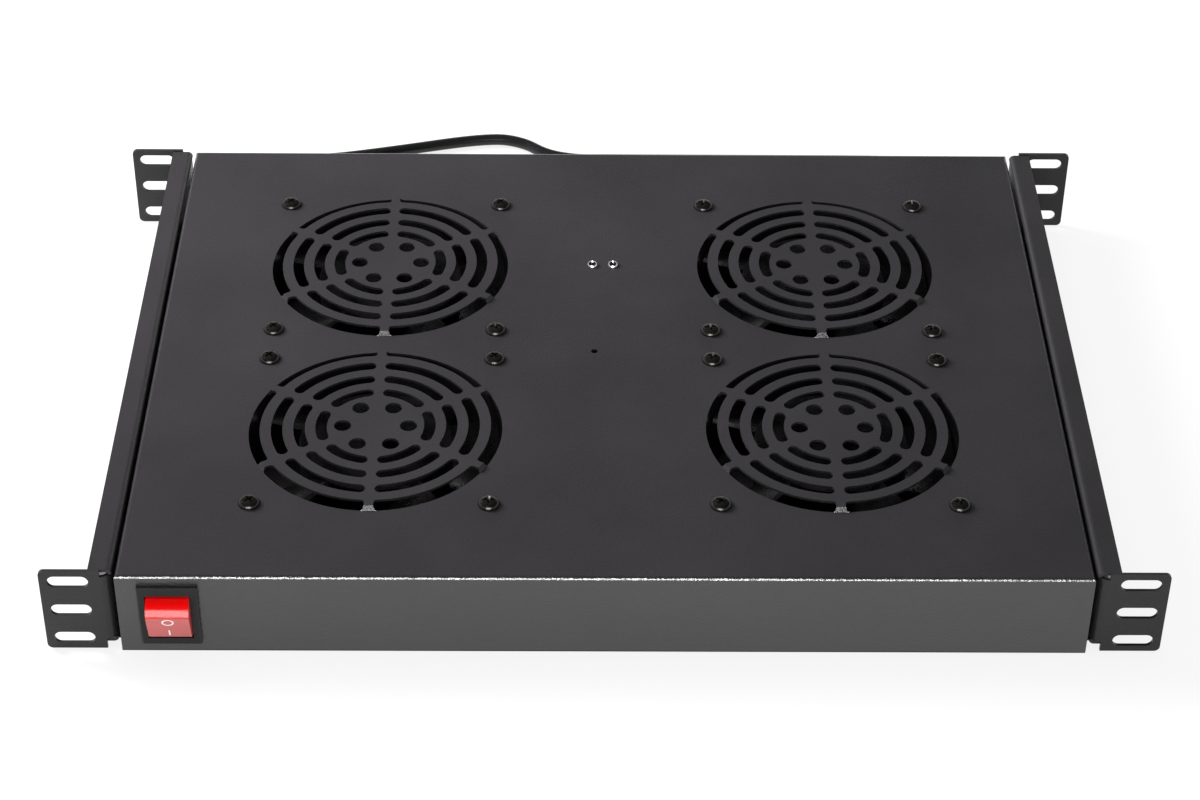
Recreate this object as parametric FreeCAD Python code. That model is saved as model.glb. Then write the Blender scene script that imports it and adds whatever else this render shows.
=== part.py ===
"""Rack fan tray, 1U, four 120 mm AC fans under a pressed steel deck.

Frame: +X to the right, +Y to the rear, +Z up, millimetres.
Origin: middle of the tray's footprint, on the surface that it stands on.
"""
import FreeCAD, Part
import math
import os

V = FreeCAD.Vector
ALONG_X = (1, 0, 0)
ALONG_Y = (0, 1, 0)
ALONG_Z = (0, 0, 1)

# ------------------------------------------------------------------ rack standard
rack_width = 482.6            # over the ears, 19 inch panel width
slot_pitch = 15.875           # vertical spacing of rack holes

# ------------------------------------------------------------------ tray body
ear_reach = 32.3              # from the tray's side wall to the outer edge of an ear
body_depth = 330.0
body_height = 42.0
sheet = 1.2                   # tray sheet thickness
bend_inner = 0.5              # inside radius of the tray's folds
corner_seam = 0.5             # open seam where two folded walls meet

# ------------------------------------------------------------------ fan layout
fan_size = 119.5
fan_depth = 38.0
fan_screw_square = 105.0
fan_pitch_x = 206.8
fan_pitch_y = 127.8
fan_names = {"front_left": (-1, -1), "front_right": (1, -1), "rear_left": (-1, 1), "rear_right": (1, 1)}

# ------------------------------------------------------------------ pressed grilles
grille_flat_radius = 56.0
grille_radius = 57.3
grille_rise = 2.0
ring_radii = (44.6, 34.5, 24.6)   # middle of each inner ring of slots
ring_slot_width = 5.2
rim_slot_inner = 52.2         # inner edge of the outermost slots
rim_slot_corner = 1.6
spoke_width = 4.1
spoke_count = 6
spoke_start = 30.0
hub_hole_radius = 3.9
hub_hole_circle = 14.9

# ------------------------------------------------------------------ side rails
rail_sheet = 1.5
rail_gap = 1.3                # spacer between tray wall and rail
rail_flange = 10.0
rail_bend_inner = 1.0
rail_bottom = 2.5
rail_top = 43.5
rail_setback = 1.0            # each ear's outer face behind the tray's wall
ear_height = 44.0
ear_corner = 2.5
ear_slot_length = 17.6
ear_slot_width = 6.2
ear_slot_inset = 12.3         # middle of each slot from the outer edge of the ear
ear_bend_inner = 3.5          # the ears are folded wider than the flanges
seam_gap = 0.3                # flange end to ear, and relief slit beside each ear's fold
rail_screw_spacing = 120.0

# ------------------------------------------------------------------ screws
m4_radius = 2.0
m4_hole_radius = 2.2
m4_head_radius = 4.9
m4_head_height = 2.9
m4_nut_flats = 7.0
m4_nut_height = 3.2
m3_radius = 1.5
m3_hole_radius = 1.65
m3_head_radius = 2.6
m3_head_height = 1.9
m3_nut_flats = 5.5
m3_nut_height = 2.4
spacer_radius = 5.0
press_nut_radius = 4.4
press_nut_height = 2.6

# ------------------------------------------------------------------ fan
fan_bore_radius = 57.4
fan_barrel_wall = 1.9
fan_flange = 5.0
fan_corner = 6.0
fan_hole_radius = 2.2
seat_thickness = 3.5
seat_radius = 33.0
strut_width = 7.0
strut_height = 4.5
strut_count = 4
boss_radius = 8.4
bearing_radius = 6.5
bearing_height = 4.0
bearing_lip = 0.8
shaft_radius = 2.5
running_clearance = 0.05
hub_radius = 35.0
hub_wall = 2.0
hub_drop = 4.8                # hub face below the top of the fan frame
hub_height = 24.0
blade_count = 5
blade_tip_gap = 1.4
blade_thickness = 2.0
blade_root_chord = 33.0
blade_tip_chord = 44.0
blade_root_pitch = 40.0
blade_tip_pitch = 27.0
blade_sink = 1.0              # middle of the blades below the middle of the hub
blade_overcut = 4.0           # blades are drawn this much too long and trimmed round
hub_edge = 1.0
blade_camber = 3.2
stator_radius = 31.0
stator_clearance = 1.0
core_height = 11.0
coil_radius = 27.0
coil_height = 4.0

# ------------------------------------------------------------------ rocker switch
switch_inset = 22.2           # middle of the switch from the tray's side wall
switch_bezel_width = 26.0
switch_bezel_height = 32.0
switch_bezel = 2.5
switch_bevel = 0.8
switch_body_width = 22.0
switch_body_height = 28.0
switch_body_depth = 25.0
switch_cutout_clearance = 0.2
window_width = 19.6
window_height = 23.8
rocker_clearance = 0.55
rocker_radius = 12.0
rocker_face = 9.5             # rocker face in front of its pivot, at mid travel
rocker_back = 2.0
rocker_edge = 1.3
rocker_tilt = 16.0            # half of the rocker's travel, degrees
pivot_setback = 3.0
pivot_radius = 1.5
pivot_bite = 0.9
cavity_clearance = 0.5
blade_terminal = (6.3, 0.8, 9.0)   # width, thickness, length
terminal_row_pitch = 7.0
terminal_column_pitch = 11.0

# ------------------------------------------------------------------ terminal block
block_y = 65.0
block_pitch = 10.0
block_poles = 3
block_depth = 17.0
block_height = 12.0
block_ridge = 2.5
block_ridge_width = 3.4
sleeve_radius = 2.6
sleeve_wall = 0.7
clamp_screw_radius = 1.6
clamp_screw_inset = 4.2
spare_hole_x = -4.2
spare_hole_y = -4.6
spare_hole_radius = 1.6

# ------------------------------------------------------------------ wiring
lead_radius = 1.8
wire_radius = 1.2
wire_bend = 9.0
wiring_drop = 8.0             # wiring level below the deck
rear_lead_reach = 26.0        # how far the rear leads loop behind the terminal block
rear_lead_lane = 30.0
earth_z = 23.0
earth_stud_length = 9.0
lug_thickness = 0.8
lug_radius = 4.2
lug_tongue_width = 5.0

# ------------------------------------------------------------------ power cord
cord_radius = 3.0
gland_flange_radius = 7.0
gland_flange = 2.0
gland_neck_radius = 5.4
gland_lock_radius = 6.4
gland_tail = 10.0
gland_tip_radius = 4.0
gland_inside = 8.0
cord_clear = 0.1              # cord above the surface that it lies on
cord_route = ((-188.2, 200.3, 12.2), (-180.7, 206.6, 9.2), (-150.0, 215.0, 4.2), (-117.4, 224.0, 3.1),
              (-60.5, 239.6, 3.1), (-41.7, 235.3, 3.1), (-29.0, 222.9, 3.1), (-13.0, 217.5, 3.6))
cord_first_run = 14.5
hank_lift = 0.8
hank_x = 76.0
hank_run = 155.0
hank_near_y = 169.4
hank_layer_step = 0.4
hank_layers = ((24.0, 18.0), (19.8, 19.8))   # outer and inner turn of each layer
tie_thickness = 0.6
tie_width = 4.5
tie_clearance = 0.1
tail_start = (-11.4, 172.5, 9.8)
tail_last_run = 13.0
plug_x = -60.0
plug_y = 183.0
plug_width = 28.0
plug_height = 22.0
plug_length = 44.0
plug_corner = 4.0
plug_shroud = 2.0
plug_recess = 17.0
plug_boot_length = 18.0
plug_boot_radius = 5.5
plug_boot_tip = 4.0
plug_pin = (14.0, 2.0, 4.0)
plug_pin_pitch = 7.0
plug_earth_rise = 2.0

# ------------------------------------------------------------------ derived places
half_width = rack_width / 2 - ear_reach
half_depth = body_depth / 2
deck_under = body_height - sheet
fan_top = deck_under
fan_bottom = fan_top - fan_depth
flange_under = fan_top - fan_flange
hub_top = fan_top - hub_drop
hub_bottom = hub_top - hub_height
seat_top = fan_bottom + seat_thickness
blade_tip_radius = fan_bore_radius - blade_tip_gap
web_inner = half_width + rail_gap
web_outer = web_inner + rail_sheet
ear_front = rail_setback - half_depth
ear_slot_x = rack_width / 2 - ear_slot_inset
switch_x = switch_inset - half_width
rail_middle = ear_height / 2
pivot_y = -half_depth + pivot_setback
pivot_z = body_height / 2
wiring_z = deck_under - wiring_drop
blade_columns = (switch_x - terminal_column_pitch / 2, switch_x + terminal_column_pitch / 2)
blade_rows = (pivot_z - terminal_row_pitch, pivot_z + terminal_row_pitch)
blade_tip = -half_depth + switch_body_depth + blade_terminal[2]
gland_x = blade_columns[0]    # the mains cable runs straight from the gland to the switch
gland_z = blade_rows[0]
gland_end = half_depth + gland_flange + gland_tail
rear_wall = half_depth - sheet
hank_z = hank_lift + cord_radius
plug_z = plug_height / 2 + cord_clear


# ------------------------------------------------------------------ helpers
def box(x0, x1, y0, y1, z0, z1):
    """A box between two corners."""
    return Part.makeBox(x1 - x0, y1 - y0, z1 - z0, V(x0, y0, z0))


def cylinder(radius, start, direction, length):
    """A cylinder from a start point along a direction."""
    return Part.makeCylinder(radius, length, V(*start), V(*direction))


def polygon(points):
    """A flat face from a closed outline of points."""
    corners = [V(*p) for p in points]
    return Part.Face(Part.makePolygon(corners + corners[:1]))


def revolved(profile, origin=(0, 0, 0), direction=(0, 0, 1)):
    """A solid turned from (radius, height) points about an axis."""
    face = polygon([(r, 0, h) for r, h in profile])
    solid = face.revolve(V(0, 0, 0), V(0, 0, 1), 360)
    turn = FreeCAD.Rotation(V(0, 0, 1), V(*direction))
    solid.Placement = FreeCAD.Placement(V(*origin), turn)
    return solid


def moved(shape, x, y, z):
    """A copy of a shape at another place."""
    copy = shape.copy()
    copy.translate(V(x, y, z))
    return copy


def mirrored(shape):
    """The left-hand copy of a right-hand shape."""
    return shape.mirror(V(0, 0, 0), V(1, 0, 0))


def polar(radius, degrees, z=0.0):
    """A point at a radius and angle about the Z axis."""
    angle = math.radians(degrees)
    return V(radius * math.cos(angle), radius * math.sin(angle), z)


def edges_along(shape, axis, test):
    """The edges parallel to an axis whose two ends pass a test."""
    found = []
    for edge in shape.Edges:
        ends = [v.Point for v in edge.Vertexes]
        if len(ends) != 2 or not all(test(p) for p in ends):
            continue
        run = ends[1] - ends[0]
        if near(abs(run.dot(V(*axis))), run.Length):
            found.append(edge)
    return found


def near(a, b):
    """True where two lengths agree."""
    return abs(a - b) < 1e-4


def at_level(z):
    """A test for points at a height."""
    return lambda p: near(p.z, z)


def hexagon(flats, height, origin):
    """A hexagonal prism standing on its origin."""
    radius = flats / math.sqrt(3)
    face = polygon([polar(radius, 60 * i) for i in range(6)])
    return moved(face.extrude(V(0, 0, height)), *origin)


def stadium(length, radius, x, y, z0, z1):
    """A flat slab with straight sides along X and round ends."""
    half = length / 2
    slab = box(x - half, x + half, y - radius, y + radius, z0, z1)
    ends = [cylinder(radius, (x + s * half, y, z0), (0, 0, 1), z1 - z0) for s in (-1, 1)]
    return slab.fuse(ends).removeSplitter()


def rounded_route(points, radii):
    """A wire of straight runs joined by tangent arcs."""
    corners = [V(*p) for p in points]
    edges = []
    start = corners[0]
    for i in range(1, len(corners) - 1):
        back = (corners[i - 1] - corners[i]).normalize()
        ahead = (corners[i + 1] - corners[i]).normalize()
        half_turn = (math.pi - back.getAngle(ahead)) / 2
        setback = radii[i - 1] * math.tan(half_turn)
        enter = corners[i] + back * setback
        leave = corners[i] + ahead * setback
        inward = (back + ahead).normalize()
        middle = corners[i] + inward * (radii[i - 1] / math.cos(half_turn) - radii[i - 1])
        edges.append(Part.LineSegment(start, enter).toShape())
        edges.append(Part.Arc(enter, middle, leave).toShape())
        start = leave
    edges.append(Part.LineSegment(start, corners[-1]).toShape())
    return Part.Wire(edges)


def cord_radii(points):
    """The largest arc that the two runs at each corner of a cord allow."""
    corners = [V(*p) for p in points]
    radii = []
    for i in range(1, len(corners) - 1):
        before = corners[i] - corners[i - 1]
        after = corners[i + 1] - corners[i]
        half_turn = before.getAngle(after) / 2
        radii.append(0.45 * min(before.Length, after.Length) / math.tan(half_turn))
    return radii


def tube(points, radius, radii):
    """A round solid along a route of runs and tangent arcs."""
    route = rounded_route(points, radii)
    start = V(*points[0])
    heading = V(*points[1]) - start
    section = Part.Wire([Part.makeCircle(radius, start, heading)])
    solid = route.makePipeShell([section], True, False)
    expected = math.pi * radius ** 2 * route.Length
    if abs(solid.Volume - expected) > 0.02 * expected:
        raise ValueError("tube volume %.0f, expected %.0f" % (solid.Volume, expected))
    return solid


def wire_run(points, radius, bend=wire_bend):
    """An insulated wire with the same bend at each corner."""
    return tube(points, radius, [bend] * (len(points) - 2))


def group(solids):
    """Separate solids that share one node."""
    return Part.makeCompound(solids)


def fan_centre(name):
    """The middle of a named fan, seen from above."""
    sx, sy = fan_names[name]
    return sx * fan_pitch_x / 2, sy * fan_pitch_y / 2


def fan_corners(name):
    """The four screw places of a named fan."""
    x, y = fan_centre(name)
    half = fan_screw_square / 2
    return [(x + sx * half, y + sy * half) for sx in (-1, 1) for sy in (-1, 1)]


# ------------------------------------------------------------------ tray body
def ring_slot(middle_radius, start, end):
    """A curved slot with round ends, standing on z = 0."""
    half = ring_slot_width / 2
    margin = math.degrees(math.asin((spoke_width / 2 + half) / middle_radius))
    first = start + margin
    last = end - margin
    outer = middle_radius + half
    inner = middle_radius - half
    tip = math.degrees(half / middle_radius)
    edges = [
        Part.Arc(polar(outer, first), polar(outer, (first + last) / 2), polar(outer, last)).toShape(),
        Part.Arc(polar(outer, last), polar(middle_radius, last + tip), polar(inner, last)).toShape(),
        Part.Arc(polar(inner, last), polar(inner, (first + last) / 2), polar(inner, first)).toShape(),
        Part.Arc(polar(inner, first), polar(middle_radius, first - tip), polar(outer, first)).toShape(),
    ]
    return Part.Face(Part.Wire(edges)).extrude(V(0, 0, body_height))


def rim_slot(start, end):
    """A slot along the edge of a grille, open across its slope, with round corners."""
    far = math.degrees(math.asin(spoke_width / 2 / grille_radius))
    close = math.degrees(math.asin(spoke_width / 2 / rim_slot_inner))
    outer = [polar(grille_radius, a) for a in (start + far, (start + end) / 2, end - far)]
    inner = [polar(rim_slot_inner, a) for a in (end - close, (start + end) / 2, start + close)]
    edges = [
        Part.Arc(*outer).toShape(),
        Part.LineSegment(outer[2], inner[0]).toShape(),
        Part.Arc(*inner).toShape(),
        Part.LineSegment(inner[2], outer[0]).toShape(),
    ]
    slot = Part.Face(Part.Wire(edges)).extrude(V(0, 0, body_height))
    return slot.makeFillet(rim_slot_corner, edges_along(slot, ALONG_Z, lambda p: True))


def grille():
    """One raised grille with its rings of slots, centred on the Z axis."""
    top = body_height + grille_rise
    slope = math.atan2(grille_rise, grille_radius - grille_flat_radius)
    shift = sheet * math.tan(slope / 2)
    disc = revolved([(0, top), (grille_flat_radius, top), (grille_radius, body_height),
                     (grille_radius, deck_under), (grille_radius - shift, deck_under),
                     (grille_flat_radius - shift, top - sheet), (0, top - sheet)])
    step = 360 / spoke_count
    cutters = []
    for k in range(spoke_count):
        start = spoke_start + k * step
        slots = [ring_slot(radius, start, start + step) for radius in ring_radii]
        slots.append(rim_slot(start, start + step))
        cutters += [moved(slot, 0, 0, body_height / 2) for slot in slots]
        hole = polar(hub_hole_circle, k * step, body_height / 2)
        cutters.append(cylinder(hub_hole_radius, hole, (0, 0, 1), body_height))
    return disc.cut(cutters)


def tray_body():
    """The folded steel tray with its four pressed grilles."""
    shell = box(-half_width, half_width, -half_depth, half_depth, 0, body_height)
    upper = [e for axis in (ALONG_X, ALONG_Y) for e in edges_along(shell, axis, at_level(body_height))]
    shell = shell.makeFillet(bend_inner + sheet, upper)
    hollow = box(-half_width + sheet, half_width - sheet, -half_depth + sheet, half_depth - sheet,
                 -sheet, deck_under)
    upper = [e for axis in (ALONG_X, ALONG_Y) for e in edges_along(hollow, axis, at_level(deck_under))]
    shell = shell.cut(hollow.makeFillet(bend_inner, upper))
    cutters = []
    for sx in (-1, 1):
        for sy in (-1, 1):
            seam = box(half_width - sheet, half_width + 1, half_depth - sheet - corner_seam,
                       half_depth - sheet, -sheet, body_height - bend_inner - sheet)
            seam = seam.mirror(V(0, 0, 0), V(1, 0, 0)) if sx < 0 else seam
            cutters.append(seam.mirror(V(0, 0, 0), V(0, 1, 0)) if sy < 0 else seam)
    disc = grille()
    discs = []
    for name in fan_names:
        x, y = fan_centre(name)
        cutters.append(cylinder(grille_radius, (x, y, deck_under - 1), (0, 0, 1), sheet + 2))
        discs.append(moved(disc, x, y, 0))
        cutters += [cylinder(m4_hole_radius, (cx, cy, deck_under - 1), (0, 0, 1), sheet + 2)
                    for cx, cy in fan_corners(name)]
    cutters += [cylinder(m3_hole_radius, (x, block_y, deck_under - 1), (0, 0, 1), sheet + 2)
                for x in (-block_pitch / 2, block_pitch / 2)]
    cutters.append(cylinder(spare_hole_radius, (spare_hole_x, spare_hole_y, deck_under - 1), (0, 0, 1),
                            sheet + 2))
    reach = switch_cutout_clearance
    cutters.append(box(switch_x - switch_body_width / 2 - reach, switch_x + switch_body_width / 2 + reach,
                       -half_depth - 1, -half_depth + sheet + 1,
                       pivot_z - switch_body_height / 2 - reach, pivot_z + switch_body_height / 2 + reach))
    cutters.append(cylinder(gland_neck_radius, (gland_x, half_depth - sheet - 1, gland_z), (0, 1, 0),
                            sheet + 2))
    for y in rail_screw_places():
        cutters.append(cylinder(m4_hole_radius, (-half_width - 1, y, rail_middle), (1, 0, 0), sheet + 2))
        cutters.append(cylinder(m4_hole_radius, (half_width - sheet - 1, y, rail_middle), (1, 0, 0),
                                sheet + 2))
    return shell.cut(cutters).fuse(discs).removeSplitter()


# ------------------------------------------------------------------ side rails
def rail_screw_places():
    """Where the rail screws stand along the tray."""
    return (-rail_screw_spacing, 0.0, rail_screw_spacing)


def ear_slot(z):
    """One rounded rack slot, cut through both ears."""
    radius = ear_slot_width / 2
    reach = ear_slot_length / 2 - radius
    start = ear_front - 1
    length = -2 * start
    slot = box(ear_slot_x - reach, ear_slot_x + reach, start, start + length, z - radius, z + radius)
    ends = [cylinder(radius, (ear_slot_x + s * reach, start, z), (0, 1, 0), length) for s in (-1, 1)]
    return slot.fuse(ends)


def rail():
    """The right-hand rail: a channel with an ear bent out at each end."""
    outer_bend = rail_bend_inner + rail_sheet
    ear_bend = ear_bend_inner + rail_sheet
    back = ear_front + rail_sheet
    ear_end = rack_width / 2
    ears = box(web_inner, ear_end, ear_front, -ear_front, 0, ear_height)
    ears = ears.cut(box(web_outer, ear_end + 1, back, -back, -1, ear_height + 1))
    ears = ears.makeFillet(ear_bend, edges_along(ears, ALONG_Z, lambda p: near(p.x, web_inner)))
    ears = ears.makeFillet(ear_bend_inner, edges_along(ears, ALONG_Z, lambda p: near(p.x, web_outer)))
    ears = ears.makeFillet(ear_corner, edges_along(ears, ALONG_Y, lambda p: near(p.x, ear_end)))
    tangent = web_inner + ear_bend
    low = rail_bottom + outer_bend
    high = rail_top - outer_bend
    ears = ears.cut([box(web_inner - 1, tangent, ear_front - 1, -ear_front + 1, -1, low + seam_gap),
                     box(web_inner - 1, tangent, ear_front - 1, -ear_front + 1, high - seam_gap,
                         ear_height + 1)])
    ears = ears.cut([ear_slot(rail_middle + k * slot_pitch) for k in (-1, 0, 1)])

    end = -back - seam_gap
    flange_end = web_inner + rail_flange
    channel = box(web_inner, flange_end, -end, end, rail_bottom, rail_top)
    channel = channel.cut(box(web_outer, flange_end + 1, -end - 1, end + 1,
                              rail_bottom + rail_sheet, rail_top - rail_sheet))
    channel = channel.makeFillet(outer_bend, edges_along(channel, ALONG_Y,
                                                         lambda p: near(p.x, web_inner)))
    channel = channel.makeFillet(rail_bend_inner, edges_along(channel, ALONG_Y,
                                                              lambda p: near(p.x, web_outer)))
    fold_start = ear_front + ear_bend
    for y0, y1 in ((-end - 1, fold_start), (-fold_start, end + 1)):
        channel = channel.cut(box(web_inner - 1, web_outer + 1, y0, y1, low, high))
    holes = [cylinder(m4_hole_radius, (web_inner - 1, y, rail_middle), (1, 0, 0), rail_sheet + 2)
             for y in rail_screw_places()]
    return ears.fuse(channel).removeSplitter().cut(holes)


def rail_hardware():
    """Screws, spacers and press nuts that hold both rails."""
    length = rail_sheet + rail_gap + sheet + press_nut_height
    screws, spacers, nuts = [], [], []
    for y in rail_screw_places():
        screw = pan_screw(m4_radius, m4_head_radius, m4_head_height, length, (web_outer, y, rail_middle),
                          (1, 0, 0))
        spacer = revolved([(m4_hole_radius, 0), (spacer_radius, 0), (spacer_radius, rail_gap),
                           (m4_hole_radius, rail_gap)], (half_width, y, rail_middle), (1, 0, 0))
        nut_start = half_width - sheet - press_nut_height
        nut = revolved([(m4_radius, 0), (press_nut_radius, 0), (press_nut_radius, press_nut_height),
                        (m4_radius, press_nut_height)], (nut_start, y, rail_middle), (1, 0, 0))
        screws += [screw, mirrored(screw)]
        spacers += [spacer, mirrored(spacer)]
        nuts += [nut, mirrored(nut)]
    return group(screws), group(spacers), group(nuts)


# ------------------------------------------------------------------ screws and nuts
def pan_screw(radius, head_radius, head_height, length, origin, direction):
    """A pan-head screw: origin under the head, direction towards the head."""
    crown = head_radius * 0.55
    return revolved([(0, -length), (radius, -length), (radius, 0), (head_radius, 0),
                     (head_radius * 0.93, head_height * 0.6), (crown, head_height), (0, head_height)],
                    origin, direction)


def hex_nut(flats, bore, height, x, y, top):
    """A hexagon nut whose upper face is at a given height."""
    nut = hexagon(flats, height, (x, y, top - height))
    return nut.cut(cylinder(bore, (x, y, top - height - 1), (0, 0, 1), height + 2))


def fan_fasteners():
    """The screws and nuts at the corners of all fans."""
    screws, nuts = [], []
    length = sheet + fan_flange + m4_nut_height + 1
    for name in fan_names:
        for x, y in fan_corners(name):
            screws.append(pan_screw(m4_radius, m4_head_radius, m4_head_height, length,
                                    (x, y, body_height), (0, 0, 1)))
            nuts.append(hex_nut(m4_nut_flats, m4_radius, m4_nut_height, x, y, flange_under))
    return group(screws), group(nuts)


# ------------------------------------------------------------------ fan
def fan_frame(name):
    """Die-cast frame: barrel, two corner flanges, struts, motor seat and bearing boss."""
    x, y = fan_centre(name)
    half = fan_size / 2
    plates = []
    for z0 in (fan_bottom, flange_under):
        plate = box(-half, half, -half, half, z0, z0 + fan_flange)
        plates.append(plate.makeFillet(fan_corner, edges_along(plate, ALONG_Z, lambda p: True)))
    barrel = cylinder(fan_bore_radius + fan_barrel_wall, (0, 0, fan_bottom), (0, 0, 1), fan_depth)
    casting = barrel.fuse(plates)
    casting = casting.cut(cylinder(fan_bore_radius, (0, 0, fan_bottom - 1), (0, 0, 1), fan_depth + 2))
    reach = fan_bore_radius + fan_barrel_wall / 2
    struts = []
    for k in range(strut_count):
        strut = box(0, reach, -strut_width / 2, strut_width / 2, fan_bottom, fan_bottom + strut_height)
        strut.rotate(V(0, 0, 0), V(0, 0, 1), 45 + 360 / strut_count * k)
        struts.append(strut)
    seat = cylinder(seat_radius, (0, 0, fan_bottom), (0, 0, 1), seat_thickness)
    boss = cylinder(boss_radius, (0, 0, fan_bottom), (0, 0, 1), boss_height())
    casting = casting.fuse(struts + [seat, boss])
    low, high = bearing_places()
    bore = cylinder(bearing_radius, (0, 0, low), (0, 0, 1), fan_depth)
    shaft_way = cylinder(shaft_radius + 1, (0, 0, fan_bottom + 1), (0, 0, 1), fan_depth)
    casting = casting.cut([bore, shaft_way])
    corner = fan_screw_square / 2
    casting = casting.cut([cylinder(fan_hole_radius, (sx * corner, sy * corner, fan_bottom - 1), (0, 0, 1),
                                    fan_depth + 2) for sx in (-1, 1) for sy in (-1, 1)])
    return moved(casting.removeSplitter(), x, y, 0)


def boss_height():
    """Height of the bearing boss above the underside of the fan."""
    return hub_top - hub_wall - stator_clearance - fan_bottom


def bearing_places():
    """Lower face of the lower bearing and of the upper bearing."""
    low = fan_bottom + bearing_lip + 1
    high = fan_bottom + boss_height() - bearing_height
    return low, high


def fan_bearings(name):
    """The two bearings pressed into the boss."""
    x, y = fan_centre(name)
    bore = shaft_radius + running_clearance
    low, high = bearing_places()
    return group([revolved([(bore, 0), (bearing_radius, 0), (bearing_radius, bearing_height),
                            (bore, bearing_height)], (x, y, z)) for z in (low, high)])


def fan_stator(name):
    """Laminated core between two coil rings, pressed over the boss."""
    x, y = fan_centre(name)
    foot = seat_top + stator_clearance
    return revolved([(boss_radius, foot), (coil_radius, foot), (coil_radius, foot + coil_height),
                     (stator_radius, foot + coil_height),
                     (stator_radius, foot + coil_height + core_height),
                     (coil_radius, foot + coil_height + core_height),
                     (coil_radius, foot + 2 * coil_height + core_height),
                     (boss_radius, foot + 2 * coil_height + core_height)], (x, y, 0))


def blade_section(radius, chord, pitch, middle_z):
    """A curved plate section of a blade, in a plane at a radius."""
    half = chord / 2
    lower = [(-half, 0), (0, blade_camber), (half, 0)]
    upper = [(half, blade_thickness), (0, blade_camber + blade_thickness), (-half, blade_thickness)]
    angle = math.radians(pitch)

    def place(point):
        along, out = point
        return V(radius, along * math.cos(angle) - out * math.sin(angle),
                 middle_z + along * math.sin(angle) + out * math.cos(angle))

    low = [place(p) for p in lower]
    high = [place(p) for p in upper]
    return Part.Wire([Part.Arc(*low).toShape(), Part.LineSegment(low[2], high[0]).toShape(),
                      Part.Arc(*high).toShape(), Part.LineSegment(high[2], low[0]).toShape()])


def fan_rotor(name):
    """Hub cup with its swept blades."""
    x, y = fan_centre(name)
    cup = revolved([(shaft_radius, hub_top), (hub_radius - hub_edge, hub_top), (hub_radius, hub_top - hub_edge),
                    (hub_radius, hub_bottom), (hub_radius - hub_wall, hub_bottom),
                    (hub_radius - hub_wall, hub_top - hub_wall), (shaft_radius, hub_top - hub_wall)])
    middle_z = (hub_top + hub_bottom) / 2 - blade_sink
    root = hub_radius - hub_wall * 0.9
    blades = []
    for k in range(blade_count):
        blade = Part.makeLoft([blade_section(root, blade_root_chord, blade_root_pitch, middle_z),
                               blade_section(blade_tip_radius + blade_overcut, blade_tip_chord, blade_tip_pitch,
                                             middle_z)], True, True)
        blade.rotate(V(0, 0, 0), V(0, 0, 1), 360 / blade_count * k)
        blades.append(blade)
    envelope = cylinder(blade_tip_radius, (0, 0, fan_bottom), (0, 0, 1), fan_depth)
    core = cylinder(hub_radius - hub_wall / 2, (0, 0, fan_bottom), (0, 0, 1), fan_depth)
    blades = [blade.common(envelope).cut(core) for blade in blades]
    return moved(cup.fuse(blades).removeSplitter(), x, y, 0)


def fan_shaft(name):
    """The steel shaft, fixed in the hub and running in the bearings."""
    x, y = fan_centre(name)
    low, high = bearing_places()
    return cylinder(shaft_radius, (x, y, low), (0, 0, 1), hub_top - low)


# ------------------------------------------------------------------ rocker switch
def switch_housing():
    """Bezel and body of the snap-in switch."""
    front = -half_depth
    wide = switch_bezel_width / 2
    tall = switch_bezel_height / 2
    base = polygon([(switch_x + a * wide, front, pivot_z + b * tall)
                    for a, b in ((-1, -1), (1, -1), (1, 1), (-1, 1))])
    bezel = base.extrude(V(0, -switch_bezel, 0))
    rim = [e for e in bezel.Edges if all(near(v.Point.y, front - switch_bezel) for v in e.Vertexes)]
    bezel = bezel.makeChamfer(switch_bevel, rim)
    half = switch_body_width / 2
    body = box(switch_x - half, switch_x + half, front, front + switch_body_depth,
               pivot_z - switch_body_height / 2, pivot_z + switch_body_height / 2)
    window = box(switch_x - window_width / 2, switch_x + window_width / 2, front - switch_bezel - 1,
                 front + 0.01, pivot_z - window_height / 2, pivot_z + window_height / 2)
    cavity_half = rocker_radius + cavity_clearance
    cavity = box(switch_x - window_width / 2, switch_x + window_width / 2, front, cavity_end(),
                 pivot_z - cavity_half, pivot_z + cavity_half)
    bearing = cylinder(pivot_radius + running_clearance,
                       (switch_x - window_width / 2 - pivot_bite - 0.1, pivot_y, pivot_z), (1, 0, 0),
                       window_width + 2 * pivot_bite + 0.2)
    return bezel.fuse(body).removeSplitter().cut([window, cavity, bearing])


def cavity_end():
    """Where the hollow behind the rocker ends."""
    angle = math.radians(rocker_tilt)
    swing = rocker_back * math.cos(angle) + rocker_radius * math.sin(angle)
    return pivot_y + swing + cavity_clearance


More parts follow.
